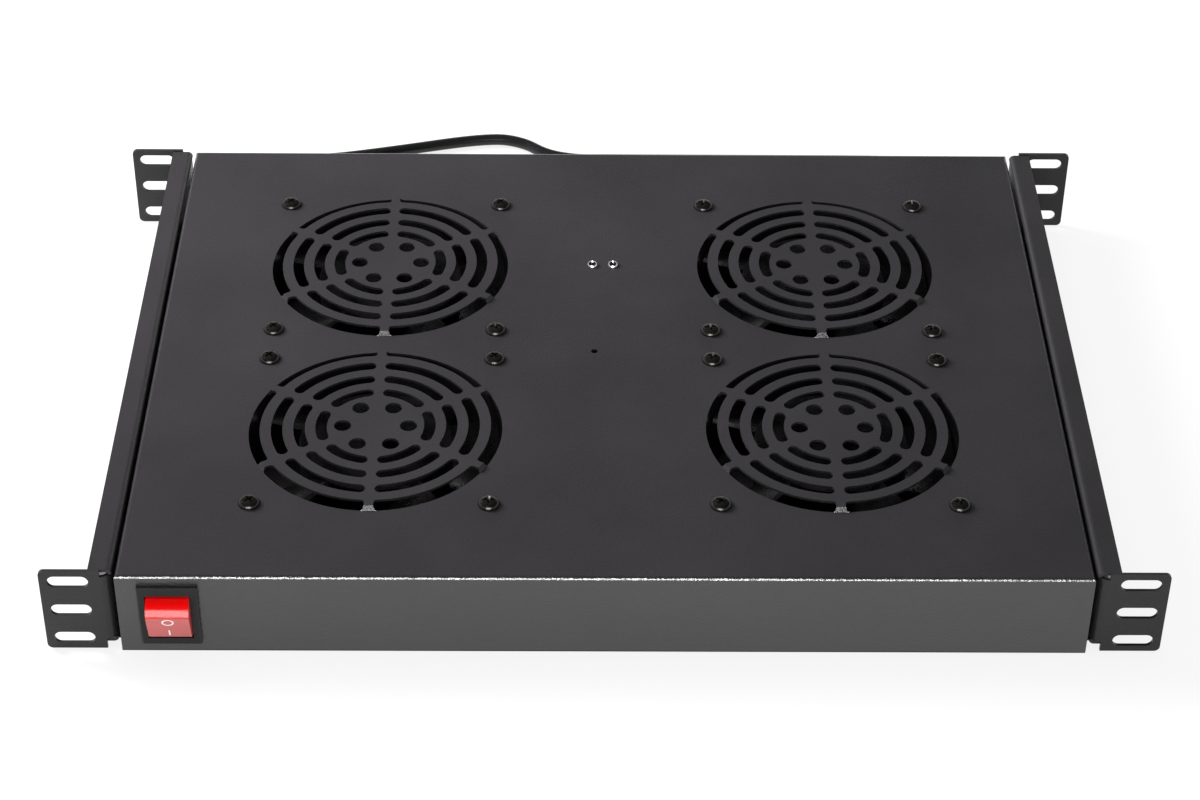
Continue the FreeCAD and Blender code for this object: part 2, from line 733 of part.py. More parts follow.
def switch_rocker():
    """Rocker cap with its two moulded pivots, resting with its lower end pressed in."""
    face_half = math.sqrt(rocker_radius ** 2 - rocker_face ** 2)
    back_half = math.sqrt(rocker_radius ** 2 - rocker_back ** 2)
    top_face = V(0, -rocker_face, face_half)
    top_back = V(0, rocker_back, back_half)
    low_face = V(0, -rocker_face, -face_half)
    low_back = V(0, rocker_back, -back_half)
    outline = Part.Wire([
        Part.LineSegment(low_face, top_face).toShape(),
        Part.Arc(top_face, V(0, 0, rocker_radius), top_back).toShape(),
        Part.LineSegment(top_back, low_back).toShape(),
        Part.Arc(low_back, V(0, 0, -rocker_radius), low_face).toShape(),
    ])
    width = window_width - 2 * rocker_clearance
    cap = moved(Part.Face(outline).extrude(V(width, 0, 0)), -width / 2, 0, 0)
    ends = [e for e in cap.Edges if all(near(v.Point.y, -rocker_face) for v in e.Vertexes)
            and near(e.Vertexes[0].Point.z, e.Vertexes[-1].Point.z)]
    cap = cap.makeFillet(rocker_edge, ends)
    reach = window_width / 2 + pivot_bite
    cap = cap.fuse(cylinder(pivot_radius, (-reach, 0, 0), (1, 0, 0), 2 * reach)).removeSplitter()
    cap.rotate(V(0, 0, 0), V(1, 0, 0), rocker_tilt)
    return moved(cap, switch_x, pivot_y, pivot_z)


def switch_terminals():
    """Four blade terminals behind the switch."""
    width, thick, length = blade_terminal
    back = -half_depth + switch_body_depth
    blades = []
    for x in blade_columns:
        for z in blade_rows:
            blades.append(box(x - thick / 2, x + thick / 2, back, back + length, z - width / 2,
                              z + width / 2))
    return group(blades)


# ------------------------------------------------------------------ terminal block
def terminal_block():
    """Three-pole strip under the deck, with its sleeves and screw wells."""
    half = block_poles * block_pitch / 2
    body = box(-half, half, block_y - block_depth / 2, block_y + block_depth / 2,
               deck_under - block_height, deck_under)
    ridges = []
    for k in range(block_poles):
        x = pole_x(k)
        ridges.append(box(x - block_ridge_width / 2, x + block_ridge_width / 2,
                          block_y - block_depth / 2 + 2, block_y + block_depth / 2 - 2,
                          deck_under - block_height - block_ridge, deck_under - block_height))
    body = body.fuse(ridges).removeSplitter()
    cutters = []
    for k in range(block_poles):
        cutters.append(cylinder(sleeve_radius, (pole_x(k), block_y - block_depth, wiring_z), (0, 1, 0),
                                2 * block_depth))
        for s in (-1, 1):
            cutters.append(cylinder(clamp_screw_radius, (pole_x(k), block_y + s * clamp_screw_inset,
                                                         deck_under - block_height - block_ridge - 1),
                                    (0, 0, 1), wiring_z - deck_under + block_height + block_ridge + 1))
    cutters += [cylinder(m3_hole_radius, (x, block_y, deck_under - block_height - 1), (0, 0, 1),
                         block_height + 2) for x in (-block_pitch / 2, block_pitch / 2)]
    return body.cut(cutters)


def pole_x(index):
    """Middle of a pole of the terminal block."""
    return (index - (block_poles - 1) / 2) * block_pitch


def terminal_sleeves():
    """The brass sleeve of each pole."""
    length = block_depth - 2
    sleeves = []
    for k in range(block_poles):
        sleeves.append(revolved([(sleeve_radius - sleeve_wall, 0), (sleeve_radius, 0),
                                 (sleeve_radius, length), (sleeve_radius - sleeve_wall, length)],
                                (pole_x(k), block_y - length / 2, wiring_z), (0, 1, 0)))
    return group(sleeves)


def clamp_screws():
    """The two clamp screws of each pole, in their wells."""
    low = deck_under - block_height - block_ridge + 1
    high = wiring_z - sleeve_radius
    return group([cylinder(clamp_screw_radius, (pole_x(k), block_y + s * clamp_screw_inset, low),
                           (0, 0, 1), high - low) for k in range(block_poles) for s in (-1, 1)])


def block_fasteners():
    """The two bright screws on the deck and their nuts below the strip."""
    screws, nuts = [], []
    length = sheet + block_height + m3_nut_height + 1
    for x in (-block_pitch / 2, block_pitch / 2):
        screws.append(pan_screw(m3_radius, m3_head_radius, m3_head_height, length,
                                (x, block_y, body_height), (0, 0, 1)))
        nuts.append(hex_nut(m3_nut_flats, m3_radius, m3_nut_height, x, block_y,
                            deck_under - block_height))
    return group(screws), group(nuts)


# ------------------------------------------------------------------ wiring
def fan_lead(name):
    """The two-core lead of one fan, from its barrel to the terminal block."""
    x, y = fan_centre(name)
    sx, sy = fan_names[name]
    start = (x - sx * (fan_bore_radius + fan_barrel_wall), y, wiring_z)
    pole = sx * block_pitch
    if sy < 0:
        route = [start, (pole, y, wiring_z), (pole, block_y - block_depth / 2, wiring_z)]
    else:
        lane = sx * rear_lead_lane
        back = y + rear_lead_reach
        route = [start, (lane, y, wiring_z), (lane, back, wiring_z), (pole, back, wiring_z),
                 (pole, block_y + block_depth / 2, wiring_z)]
    return wire_run(route, lead_radius)


def switch_cable():
    """From the switch along the left side, between the fans and up to the terminal block."""
    x, z = blade_columns[1], blade_rows[1]
    route = [(x, blade_tip, z), (x, 0, z), (0, 0, z), (0, block_y - block_depth / 2, wiring_z)]
    return wire_run(route, lead_radius)


def mains_cable():
    """The sheathed cable inside the tray, from the gland to the switch."""
    return cylinder(cord_radius, (gland_x, blade_tip, gland_z), ALONG_Y, gland_end - blade_tip)


def earth_wire():
    """From the terminal block to the earth lug on the rear wall."""
    start = block_y + block_depth / 2
    return cylinder(wire_radius, (0, start, wiring_z), ALONG_Y, rear_wall - lug_thickness - start)


def earth_parts():
    """Welded stud, lug and nut on the inside of the rear wall."""
    stud = cylinder(m4_radius, (0, rear_wall, earth_z), (0, -1, 0), earth_stud_length)
    lug_face = rear_wall - lug_thickness
    half = lug_tongue_width / 2
    lug = cylinder(lug_radius, (0, lug_face, earth_z), ALONG_Y, lug_thickness)
    lug = lug.fuse(box(-half, half, lug_face, rear_wall, earth_z, wiring_z + wire_radius + 1))
    lug = lug.cut(cylinder(m4_radius, (0, lug_face - 1, earth_z), ALONG_Y, lug_thickness + 2))
    nut = hexagon(m4_nut_flats, m4_nut_height, (0, 0, 0))
    nut = nut.cut(cylinder(m4_radius, (0, 0, -1), ALONG_Z, m4_nut_height + 2))
    nut.rotate(V(0, 0, 0), V(1, 0, 0), 90)
    return stud, lug.removeSplitter(), moved(nut, 0, lug_face, earth_z)


# ------------------------------------------------------------------ power cord
def strain_relief():
    """Moulded bush in the rear wall, tapering along the cord."""
    tip = sheet + gland_flange + gland_tail
    flange = sheet + gland_flange
    return revolved([(cord_radius, -gland_inside), (gland_lock_radius, -gland_inside),
                     (gland_lock_radius, 0), (gland_neck_radius, 0), (gland_neck_radius, sheet),
                     (gland_flange_radius, sheet), (gland_flange_radius, flange),
                     (gland_neck_radius, flange), (gland_tip_radius, tip), (cord_radius, tip)],
                    (gland_x, rear_wall, gland_z), ALONG_Y)


def cord_points():
    """The free cord's route, from the gland to the hank."""
    exit_point = (gland_x, gland_end, gland_z)
    first = (gland_x, gland_end + cord_first_run, gland_z)
    far_y = hank_near_y + 2 * hank_layers[0][0]
    last = (hank_x - hank_run / 2, far_y, hank_z)
    return [exit_point, first] + list(cord_route) + [last]


def cord_tube():
    """The cord along the stretch that isn't folded up."""
    points = cord_points()
    radii = cord_radii(points)
    print("cord bend radii", " ".join("%.1f" % r for r in radii), "for a cord of", 2 * cord_radius)
    return tube(points, cord_radius, radii)


def cord_hank():
    """The outer shape of the folded cord: two layers of long turns."""
    layers = []
    for level, (outer, inner) in enumerate(hank_layers):
        y = hank_near_y + hank_layer_step * level + outer
        z0 = hank_lift + 2 * cord_radius * level
        z1 = z0 + 2 * cord_radius
        ring = stadium(hank_run, outer + cord_radius, hank_x, y, z0, z1)
        layers.append(ring.cut(stadium(hank_run, inner - cord_radius, hank_x, y, z0 - 1, z1 + 1)))
    return layers[0].fuse(layers[1:]).removeSplitter()


def cord_tie():
    """A strap around the strands on the near side of the hank."""
    near_edge = hank_near_y - cord_radius
    wide = hank_near_y + hank_layers[0][0] - hank_layers[0][1] + cord_radius
    narrow = hank_near_y + hank_layer_step * (len(hank_layers) - 1) + cord_radius
    low = hank_lift
    first = low + 2 * cord_radius
    high = low + 2 * cord_radius * len(hank_layers)
    outline = polygon([(0, near_edge, low), (0, wide, low), (0, wide, first), (0, narrow, high),
                       (0, near_edge, high)])
    inner = outline.makeOffset2D(tie_clearance, 2)
    outer = outline.makeOffset2D(tie_clearance + tie_thickness, 2)
    band = outer.extrude(V(tie_width, 0, 0)).cut(inner.extrude(V(tie_width, 0, 0)))
    return moved(band, hank_x - tie_width / 2, 0, 0)


def cord_tail():
    """The short end between the hank and the plug."""
    boot_tip = plug_x + plug_boot_length
    points = [tail_start, (boot_tip + tail_last_run, plug_y, plug_z), (boot_tip, plug_y, plug_z)]
    return tube(points, cord_radius, cord_radii(points))


def plug_body():
    """Moulded plug with a recess around its pins and a tapered boot."""
    end = plug_x - plug_length
    body = box(end, plug_x, plug_y - plug_width / 2, plug_y + plug_width / 2, plug_z - plug_height / 2,
               plug_z + plug_height / 2)
    body = body.makeFillet(plug_corner, edges_along(body, ALONG_X, lambda p: True))
    recess = box(end, end + plug_recess, plug_y - plug_width / 2 + plug_shroud,
                 plug_y + plug_width / 2 - plug_shroud, plug_z - plug_height / 2 + plug_shroud,
                 plug_z + plug_height / 2 - plug_shroud)
    recess = recess.makeFillet(plug_corner - plug_shroud, edges_along(recess, ALONG_X, lambda p: True))
    boot = revolved([(0, 0), (plug_boot_radius, 0), (plug_boot_tip, plug_boot_length),
                     (0, plug_boot_length)], (plug_x, plug_y, plug_z), ALONG_X)
    return body.fuse(boot).removeSplitter().cut(recess)


def plug_pins():
    """The three flat pins in the recess."""
    length, thick, tall = plug_pin
    foot = plug_x - plug_length + plug_recess
    pins = []
    for k in (-1, 0, 1):
        y = plug_y + k * plug_pin_pitch
        z = plug_z + (plug_earth_rise if k == 0 else -plug_earth_rise)
        pins.append(box(foot - length, foot, y - thick / 2, y + thick / 2, z - tall / 2, z + tall / 2))
    return group(pins)


# ------------------------------------------------------------------ assembly
def build():
    """Every node of the tray by name."""
    right = rail()
    nodes = {"tray_body": tray_body(), "rail_right": right, "rail_left": mirrored(right)}
    nodes["rail_screws"], nodes["rail_spacers"], nodes["rail_press_nuts"] = rail_hardware()
    nodes["fan_screws"], nodes["fan_nuts"] = fan_fasteners()
    for name in fan_names:
        nodes["fan_frame_" + name] = fan_frame(name)
        nodes["fan_bearings_" + name] = fan_bearings(name)
        nodes["fan_stator_" + name] = fan_stator(name)
        nodes["fan_rotor_" + name] = fan_rotor(name)
        nodes["fan_shaft_" + name] = fan_shaft(name)
        nodes["fan_lead_" + name] = fan_lead(name)
    nodes["switch_housing"] = switch_housing()
    nodes["switch_rocker"] = switch_rocker()
    nodes["switch_terminals"] = switch_terminals()
    nodes["terminal_block"] = terminal_block()
    nodes["terminal_sleeves"] = terminal_sleeves()
    nodes["terminal_clamp_screws"] = clamp_screws()
    nodes["block_screws"], nodes["block_nuts"] = block_fasteners()
    nodes["switch_cable"] = switch_cable()
    nodes["mains_cable"] = mains_cable()
    nodes["earth_wire"] = earth_wire()
    nodes["earth_stud"], nodes["earth_lug"], nodes["earth_nut"] = earth_parts()
    nodes["strain_relief"] = strain_relief()
    nodes["power_cord"] = cord_tube()
    nodes["power_cord_hank"] = cord_hank()
    nodes["power_cord_tie"] = cord_tie()
    nodes["power_cord_tail"] = cord_tail()
    nodes["power_plug"] = plug_body()
    nodes["power_plug_pins"] = plug_pins()
    return nodes


os.makedirs("parts", exist_ok=True)
for node_name, shape in build().items():
    shape.exportStep("parts/%s.step" % node_name)
    print(node_name, len(shape.Solids), "solids", round(shape.Volume), "mm3")
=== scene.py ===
"""Looks of the rack fan tray: finishes, power cord, screws, switch marks, studio and camera.

Every length is in metres unless its name ends in _mm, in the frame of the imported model:
+X to the right along the rack, +Y to the rear, +Z up from the surface that the tray stands on.
"""
import logging
import math
import random
from dataclasses import dataclass
from enum import Enum

import bmesh
import bpy
from mathutils import Euler, Matrix, Vector


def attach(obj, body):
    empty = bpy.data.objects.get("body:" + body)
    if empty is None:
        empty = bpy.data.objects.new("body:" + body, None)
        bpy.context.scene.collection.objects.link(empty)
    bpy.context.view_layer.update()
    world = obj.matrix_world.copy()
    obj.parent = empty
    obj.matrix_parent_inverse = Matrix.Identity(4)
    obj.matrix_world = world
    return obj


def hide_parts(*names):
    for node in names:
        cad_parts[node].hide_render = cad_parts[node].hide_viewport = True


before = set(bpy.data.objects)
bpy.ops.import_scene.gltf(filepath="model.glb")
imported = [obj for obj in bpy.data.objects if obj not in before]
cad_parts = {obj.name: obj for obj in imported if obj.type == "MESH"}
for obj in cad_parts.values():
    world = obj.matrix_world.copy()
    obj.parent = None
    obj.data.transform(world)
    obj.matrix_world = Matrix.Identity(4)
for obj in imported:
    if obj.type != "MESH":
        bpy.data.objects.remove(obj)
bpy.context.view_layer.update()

MM = 0.001
Colour = tuple[float, float, float]
Point = tuple[float, float, float]
Span = tuple[float, float]
Socket = bpy.types.NodeSocket
Tree = bpy.types.NodeTree
BLACK = (0.0, 0.0, 0.0, 1.0)
WHITE = (1.0, 1.0, 1.0, 1.0)
log = logging.getLogger("rack_fan_tray")


# ---------------------------------------------------------------- node helpers
def maths(tree: Tree, operation: str, first: Socket, *others: Socket | float) -> Socket:
    """Add a maths node.

    Args:
        tree: the nodes that it joins.
        operation: Blender's name of the operation.
        first: the first number.
        others: the other numbers, each an output or a constant.

    Returns:
        The result.
    """
    node = tree.nodes.new("ShaderNodeMath")
    node.operation = operation
    tree.links.new(first, node.inputs[0])
    for place, other in zip(node.inputs[1:], others):
        if isinstance(other, Socket):
            tree.links.new(other, place)
        else:
            place.default_value = other
    return node.outputs[0]


def ramp(tree: Tree, source: Socket, to: Span, start: Span = (0.0, 1.0), soft: bool = False
         ) -> Socket:
    """Stretch one range of values to another.

    Args:
        tree: the nodes that it joins.
        source: the value to stretch.
        to: the results at both ends.
        start: the source's values at both ends, in rising order.
        soft: whether the ramp eases in and out.

    Returns:
        The stretched value.
    """
    node = tree.nodes.new("ShaderNodeMapRange")
    if soft:
        node.interpolation_type = "SMOOTHSTEP"
    for name, value in zip(("From Min", "From Max", "To Min", "To Max"), (*start, *to)):
        node.inputs[name].default_value = value
    tree.links.new(source, node.inputs["Value"])
    return node.outputs["Result"]


def axis_of(tree: Tree, source: Socket, axis: str) -> Socket:
    """Take one axis out of a vector.

    Args:
        tree: the nodes that it joins.
        source: the vector.
        axis: X, Y or Z.

    Returns:
        The vector's value on that axis.
    """
    split = tree.nodes.new("ShaderNodeSeparateXYZ")
    tree.links.new(source, split.inputs["Vector"])
    return split.outputs[axis]


def blend(tree: Tree, share: Socket, first: Socket, second: Socket) -> Socket:
    """Mix two surfaces.

    Args:
        tree: the nodes that it joins.
        share: share of the second surface.
        first: the surface at 0.
        second: the surface at 1.

    Returns:
        The mixed surface.
    """
    node = tree.nodes.new("ShaderNodeMixShader")
    tree.links.new(share, node.inputs["Fac"])
    tree.links.new(first, node.inputs[1])
    tree.links.new(second, node.inputs[2])
    return node.outputs[0]


def looked_at(tree: Tree) -> Socket:
    """Tell rays that see a surface from rays that it lights.

    Args:
        tree: the nodes that it joins.

    Returns:
        1 for the camera and for reflections and clear surfaces, else 0.
    """
    path = tree.nodes.new("ShaderNodeLightPath")
    seen = path.outputs["Is Camera Ray"]
    for kind in ("Is Glossy Ray", "Is Transmission Ray"):
        seen = maths(tree, "MAXIMUM", seen, path.outputs[kind])
    return seen


class Shader:
    """A material's node tree around one Principled surface."""

    def __init__(self, name: str) -> None:
        """Start the material with its Principled surface and object coordinates.

        Args:
            name: the material's name.
        """
        self.material = bpy.data.materials.new(name)
        self.material.use_nodes = True
        self.tree = self.material.node_tree
        self.surface = self.tree.nodes["Principled BSDF"]
        coordinates = self.tree.nodes.new("ShaderNodeTexCoord")
        self.place = coordinates.outputs["Object"]
        self.facing = coordinates.outputs["Normal"]

    def link(self, source: Socket, name: str) -> None:
        """Drive one of the surface's own sockets.

        Args:
            source: the output that drives it.
            name: the socket's name.
        """
        self.tree.links.new(source, self.surface.inputs[name])

    def set(self, **values: float) -> None:
        """Write constants on the surface's own sockets.

        Args:
            values: socket names, with underscores for spaces, and their values.
        """
        for name, value in values.items():
            self.surface.inputs[name.replace("_", " ")].default_value = value

    def noise(self, grain_mm: float, detail: float = 2.0, stretch: Point = (1.0, 1.0, 1.0)
              ) -> Socket:
        """Noise whose features are about one grain wide.

        Args:
            grain_mm: width of a feature.
            detail: octaves of finer noise.
            stretch: how much the noise is packed along each axis.

        Returns:
            The noise, from 0 to 1.
        """
        mapping = self.tree.nodes.new("ShaderNodeMapping")
        mapping.inputs["Scale"].default_value = stretch
        self.tree.links.new(self.place, mapping.inputs["Vector"])
        node = self.tree.nodes.new("ShaderNodeTexNoise")
        node.inputs["Scale"].default_value = 1.0 / (grain_mm * MM)
        node.inputs["Detail"].default_value = detail
        self.tree.links.new(mapping.outputs["Vector"], node.inputs["Vector"])
        return node.outputs["Fac"]

    def spread(self, source: Socket, low: float, high: float, start: Span = (0.3, 0.7)) -> Socket:
        """Stretch a value to a range; unless told otherwise, from the middle part of a noise.

        Args:
            source: the value.
            low: result at the start's lower end.
            high: result at its upper end.
            start: the source's range.

        Returns:
            The stretched value.
        """
        return ramp(self.tree, source, (low, high), start)

    def two_tone(self, factor: Socket, first: Colour, second: Colour) -> Socket:
        """Mix two colours.

        Args:
            factor: 0 gives the first colour and 1 the second.
            first: colour at 0.
            second: colour at 1.

        Returns:
            The mixed colour.
        """
        node = self.tree.nodes.new("ShaderNodeMix")
        node.data_type = "RGBA"
        node.inputs["A"].default_value = (*first, 1.0)
        node.inputs["B"].default_value = (*second, 1.0)
        self.tree.links.new(factor, node.inputs["Factor"])
        return node.outputs["Result"]

    def clouded(self, cloud_mm: float, detail: float, dark: Colour, light: Colour) -> None:
        """Give the surface a base colour in soft clouds.

        Args:
            cloud_mm: width of a cloud.
            detail: octaves of finer clouds.
            dark: the darker tone.
            light: the lighter tone.
        """
        cloud = self.spread(self.noise(cloud_mm, detail), 0.0, 1.0)
        self.link(self.two_tone(cloud, dark, light), "Base Color")

    def upward(self) -> Socket:
        """How far the surface faces upwards: 1 on a level top and 0 on an upright wall."""
        return axis_of(self.tree, self.facing, "Z")

    def bump(self, height: Socket, depth_mm: float, strength: float, *names: str) -> None:
        """Turn a height into the surface's normals.

        Args:
            height: the height, from 0 to 1.
            depth_mm: how deep a height of 1 is.
            strength: share of the effect.
            names: the normals that it drives, Normal if none is named.
        """
        node = self.tree.nodes.new("ShaderNodeBump")
        node.inputs["Strength"].default_value = strength
        node.inputs["Distance"].default_value = depth_mm * MM
        self.tree.links.new(height, node.inputs["Height"])
        for name in names or ("Normal",):
            self.link(node.outputs["Normal"], name)


def lighter(colour: Colour, times: float) -> Colour:
    """Scale a colour in brightness.

    Args:
        colour: the colour.
        times: how many times as bright.

    Returns:
        The scaled colour, each part at most 1.
    """
    return tuple(min(1.0, c * times) for c in colour)


# ---------------------------------------------------------------- finishes
@dataclass(frozen=True)
class PowderCoat:
    """Fine-texture powder coat, baked on steel.

    Its gloss depends on how far a surface faces upwards: that of a level surface sinks in over
    the level range, folds have a denser skin over the fold range, and the grilles' pressed rims,
    which all slope alike, are duller.
    """

    name: str
    colour: Colour = (0.0225, 0.0212, 0.0229)
    cloud_mm: float = 60.0
    cloud_tones: Span = (0.9, 1.12)
    grain_mm: float = 0.9
    grain_depth_mm: float = 0.25
    grain_strength: float = 0.8
    grain_detail: float = 3.0
    roughness: Span = (0.33, 0.48)
    specular: float = 0.28
    level_specular: float = 0.06
    level: Span = (0.96, 0.995)
    coat: float = 1.0
    coat_roughness: float = 0.1
    coat_ior: float = 1.5
    fold_ior: float = 1.85
    fold: Span = (0.15, 0.35)
    rim_upward: float = 0.545
    rim_margin: float = 0.03
    rim_gloss: float = 0.14

    def build(self) -> bpy.types.Material:
        """Return the material: mottled charcoal, fine-grained, glossier where the sheet folds."""
        s = Shader(self.name)
        s.clouded(self.cloud_mm, self.grain_detail,
                  *(lighter(self.colour, times) for times in self.cloud_tones))
        upward = s.upward()
        on_rim = maths(s.tree, "COMPARE", upward, self.rim_upward, self.rim_margin)
        dulled = s.spread(on_rim, 1.0, self.rim_gloss, (0.0, 1.0))
        for name, steep, flat in (("Specular IOR Level", self.specular, self.level_specular),
                                  ("Coat Weight", self.coat, 0.0)):
            gloss = s.spread(upward, steep, flat, self.level)
            s.link(maths(s.tree, "MULTIPLY", gloss, dulled), name)
        s.link(s.spread(upward, self.coat_ior, self.fold_ior, self.fold), "Coat IOR")
        s.set(Coat_Roughness=self.coat_roughness)
        grain = s.noise(self.grain_mm, self.grain_detail)
        s.link(s.spread(grain, *self.roughness), "Roughness")
        s.bump(grain, self.grain_depth_mm, self.grain_strength, "Normal", "Coat Normal")
        return s.material


@dataclass(frozen=True)
class BrightMetal:
    """Plated or ground metal with fine drawn lines."""

    name: str
    colour: Colour
    roughness: Span = (0.18, 0.34)
    cloud_mm: float = 3.0
    dull_tone: float = 0.86
    detail: float = 2.0
    line_mm: float = 0.25
    line_stretch: Point = (1.0, 1.0, 0.15)
    line_depth_mm: float = 0.01
    line_strength: float = 0.5

    def build(self) -> bpy.types.Material:
        """Return the material: metal with a cloudy plate and fine lines."""
        s = Shader(self.name)
        s.clouded(self.cloud_mm, self.detail, lighter(self.colour, self.dull_tone), self.colour)
        s.set(Metallic=1.0)
        lines = s.noise(self.line_mm, self.detail, self.line_stretch)
        s.link(s.spread(lines, *self.roughness), "Roughness")
        s.bump(lines, self.line_depth_mm, self.line_strength)
        return s.material


@dataclass(frozen=True)
class Moulding:
    """Moulded plastic or a cast part with a fine skin texture."""

    name: str
    colour: Colour
    roughness: Span
    specular: float
    grain_mm: float
    grain_depth_mm: float
    grain_strength: float = 0.7
    cloud_mm: float = 9.0
    cloud_tones: Span = (0.88, 1.1)
    detail: float = 3.0

    def build(self) -> bpy.types.Material:
        """Return the material: one moulded colour, slightly uneven, with a skin texture."""
        s = Shader(self.name)
        s.clouded(self.cloud_mm, self.detail,
                  *(lighter(self.colour, times) for times in self.cloud_tones))
        s.set(Specular_IOR_Level=self.specular)
        grain = s.noise(self.grain_mm, self.detail)
        s.link(s.spread(grain, *self.roughness), "Roughness")
        s.bump(grain, self.grain_depth_mm, self.grain_strength)
        return s.material


@dataclass(frozen=True)
class ClearRed:
    """The rocker's clear red lens over its pale lamp box."""

    name: str = "clear_red_lens"
    # Painted light: base colour and glow go from the front tone to the top tone as the surface
    # turns upwards, so the top shows brighter and deeper red, as if lit from above.
    front: Colour = (0.55, 0.13, 0.125)
    top: Colour = (0.93, 0.001, 0.001)
    painted_light_span: Span = (-0.1, 0.3)
    glow: float = 0.1
    specular: float = 0.1
    coat: float = 0.2
    coat_roughness: float = 0.07
    prism_mm: float = 1.6
    roughness: Span = (0.14, 0.24)
    skin_mm: float = 0.9
    skin_depth_mm: float = 0.01
    skin_strength: float = 0.3

    def build(self) -> bpy.types.Material:
        """Return the material: red with a painted light on what faces upwards, under a hard
        gloss.
        """
        s = Shader(self.name)
        # Painted light: the tone follows how far the surface faces upwards, brighter on top.
        tone = s.two_tone(s.spread(s.upward(), 0.0, 1.0, self.painted_light_span), self.front, self.top)
        s.link(tone, "Base Color")
        s.link(tone, "Emission Color")
        s.link(s.spread(s.noise(self.prism_mm, 1.0), *self.roughness), "Roughness")
        s.set(Emission_Strength=self.glow, Specular_IOR_Level=self.specular,
              Coat_Weight=self.coat, Coat_Roughness=self.coat_roughness)
        s.bump(s.noise(self.skin_mm, 1.0), self.skin_depth_mm, self.skin_strength)
        return s.material


@dataclass(frozen=True)
class StripedSheath:
    """Two-colour wire sheath, with the second colour in a wound stripe."""

    name: str
    first: Colour
    second: Colour
    stripe_scale: float = 0.3 / (14.0 * MM)
    stripe_edge: Span = (0.46, 0.54)
    roughness: float = 0.45
    skin_mm: float = 0.6
    skin_depth_mm: float = 0.01
    skin_strength: float = 0.5

    def build(self) -> bpy.types.Material:
        """Return the material: a stripe that winds along the wire, on soft plastic."""
        s = Shader(self.name)
        wave = s.tree.nodes.new("ShaderNodeTexWave")
        wave.wave_type = "BANDS"
        wave.bands_direction = "DIAGONAL"
        wave.inputs["Scale"].default_value = self.stripe_scale
        s.tree.links.new(s.place, wave.inputs["Vector"])
        edge = s.spread(wave.outputs["Fac"], 0.0, 1.0, self.stripe_edge)
        s.link(s.two_tone(edge, self.first, self.second), "Base Color")
        s.set(Roughness=self.roughness)
        s.bump(s.noise(self.skin_mm), self.skin_depth_mm, self.skin_strength)
        return s.material


@dataclass(frozen=True)
class WoundCore:
    """Motor core: stacked steel sheets with copper coils above and below them."""

    name: str = "wound_core"
    steel: Colour = (0.36, 0.36, 0.38)
    copper: Colour = (0.62, 0.27, 0.12)
    low: float = 0.0105
    high: float = 0.0228
    edge: float = 0.0001
    metallic: float = 0.85
    roughness: float = 0.36
    sheet_mm: float = 0.4
    sheet_stretch: Point = (1.0, 1.0, 4.0)
    sheet_depth_mm: float = 0.1
    sheet_strength: float = 0.8

    def build(self) -> bpy.types.Material:
        """Return the material: copper above and below the steel stack, by height."""
        s = Shader(self.name)
        middle = (self.low + self.high) / 2
        half = (self.high - self.low) / 2
        height = axis_of(s.tree, s.place, "Z")
        away = maths(s.tree, "ABSOLUTE", maths(s.tree, "SUBTRACT", height, middle))
        coil = s.spread(away, 0.0, 1.0, (half - self.edge, half + self.edge))
        s.link(s.two_tone(coil, self.steel, self.copper), "Base Color")
        s.set(Metallic=self.metallic, Roughness=self.roughness)
        sheets = s.noise(self.sheet_mm, 1.0, self.sheet_stretch)
        s.bump(sheets, self.sheet_depth_mm, self.sheet_strength)
        return s.material


class Finish(Enum):
    """Every finish on the tray, each with its recipe."""

    DECK = PowderCoat("deck_powder_coat")
    RAIL = PowderCoat("rail_powder_coat", (0.0225, 0.0212, 0.0226), specular=0.14, coat=0.3)
    BLACK_SCREW = Moulding("black_oxide_screw", (0.0070, 0.0066, 0.0058), (0.16, 0.30),
                           specular=0.32, grain_mm=0.8, grain_depth_mm=0.06)
    ZINC = BrightMetal("zinc_plate", (0.72, 0.73, 0.74))
    BEARING = BrightMetal("ground_steel", (0.62, 0.62, 0.63), (0.12, 0.28))
    BRASS = BrightMetal("plated_brass", (0.79, 0.58, 0.26), (0.20, 0.36))
    CASTING = Moulding("black_casting", (0.005, 0.005, 0.0053), (0.34, 0.48),
                       specular=0.3, grain_mm=0.9, grain_depth_mm=0.04)
    BLADE = Moulding("black_blade_plastic", (0.0045, 0.0045, 0.005), (0.24, 0.38),
                     specular=0.35, grain_mm=1.4, grain_depth_mm=0.02)
    CORE = WoundCore()
    SWITCH = Moulding("black_nylon", (0.008, 0.0075, 0.0075), (0.24, 0.38),
                      specular=0.26, grain_mm=0.35, grain_depth_mm=0.012)
    RED = ClearRed()
    MARK = Moulding("white_mark_ink", (1.0, 0.95, 0.95), (0.29, 0.43),
                    specular=0.4, grain_mm=0.4, grain_depth_mm=0.005)
    WHITE = Moulding("white_polyamide", (0.80, 0.79, 0.75), (0.32, 0.46),
                     specular=0.5, grain_mm=0.8, grain_depth_mm=0.02)
    LEAD = Moulding("black_lead_sheath", (0.017, 0.017, 0.017), (0.34, 0.48),
                    specular=0.5, grain_mm=0.7, grain_depth_mm=0.015)
    EARTH = StripedSheath("green_yellow_sheath", (0.10, 0.42, 0.03), (0.85, 0.70, 0.03))
    CORD = Moulding("black_cord_sheath", (0.008, 0.0078, 0.0084), (0.30, 0.44),
                    specular=0.36, grain_mm=1.1, grain_depth_mm=0.03)
    PLUG = Moulding("black_plug_moulding", (0.014, 0.014, 0.015), (0.38, 0.52),
                    specular=0.45, grain_mm=0.5, grain_depth_mm=0.03)

    def material(self) -> bpy.types.Material:
        """Return the finish's material, built once."""
        found = bpy.data.materials.get(self.value.name)
        return found or self.value.build()


# ---------------------------------------------------------------- object and mesh helpers
def put(name: str, data: bpy.types.ID) -> bpy.types.Object:
    """Put data in the scene as an object.

    Args:
        name: the object's name.
        data: the mesh, curve, lamp or camera.

    Returns:
        The new object.
    """
    thing = bpy.data.objects.new(name, data)
    bpy.context.scene.collection.objects.link(thing)
    return thing


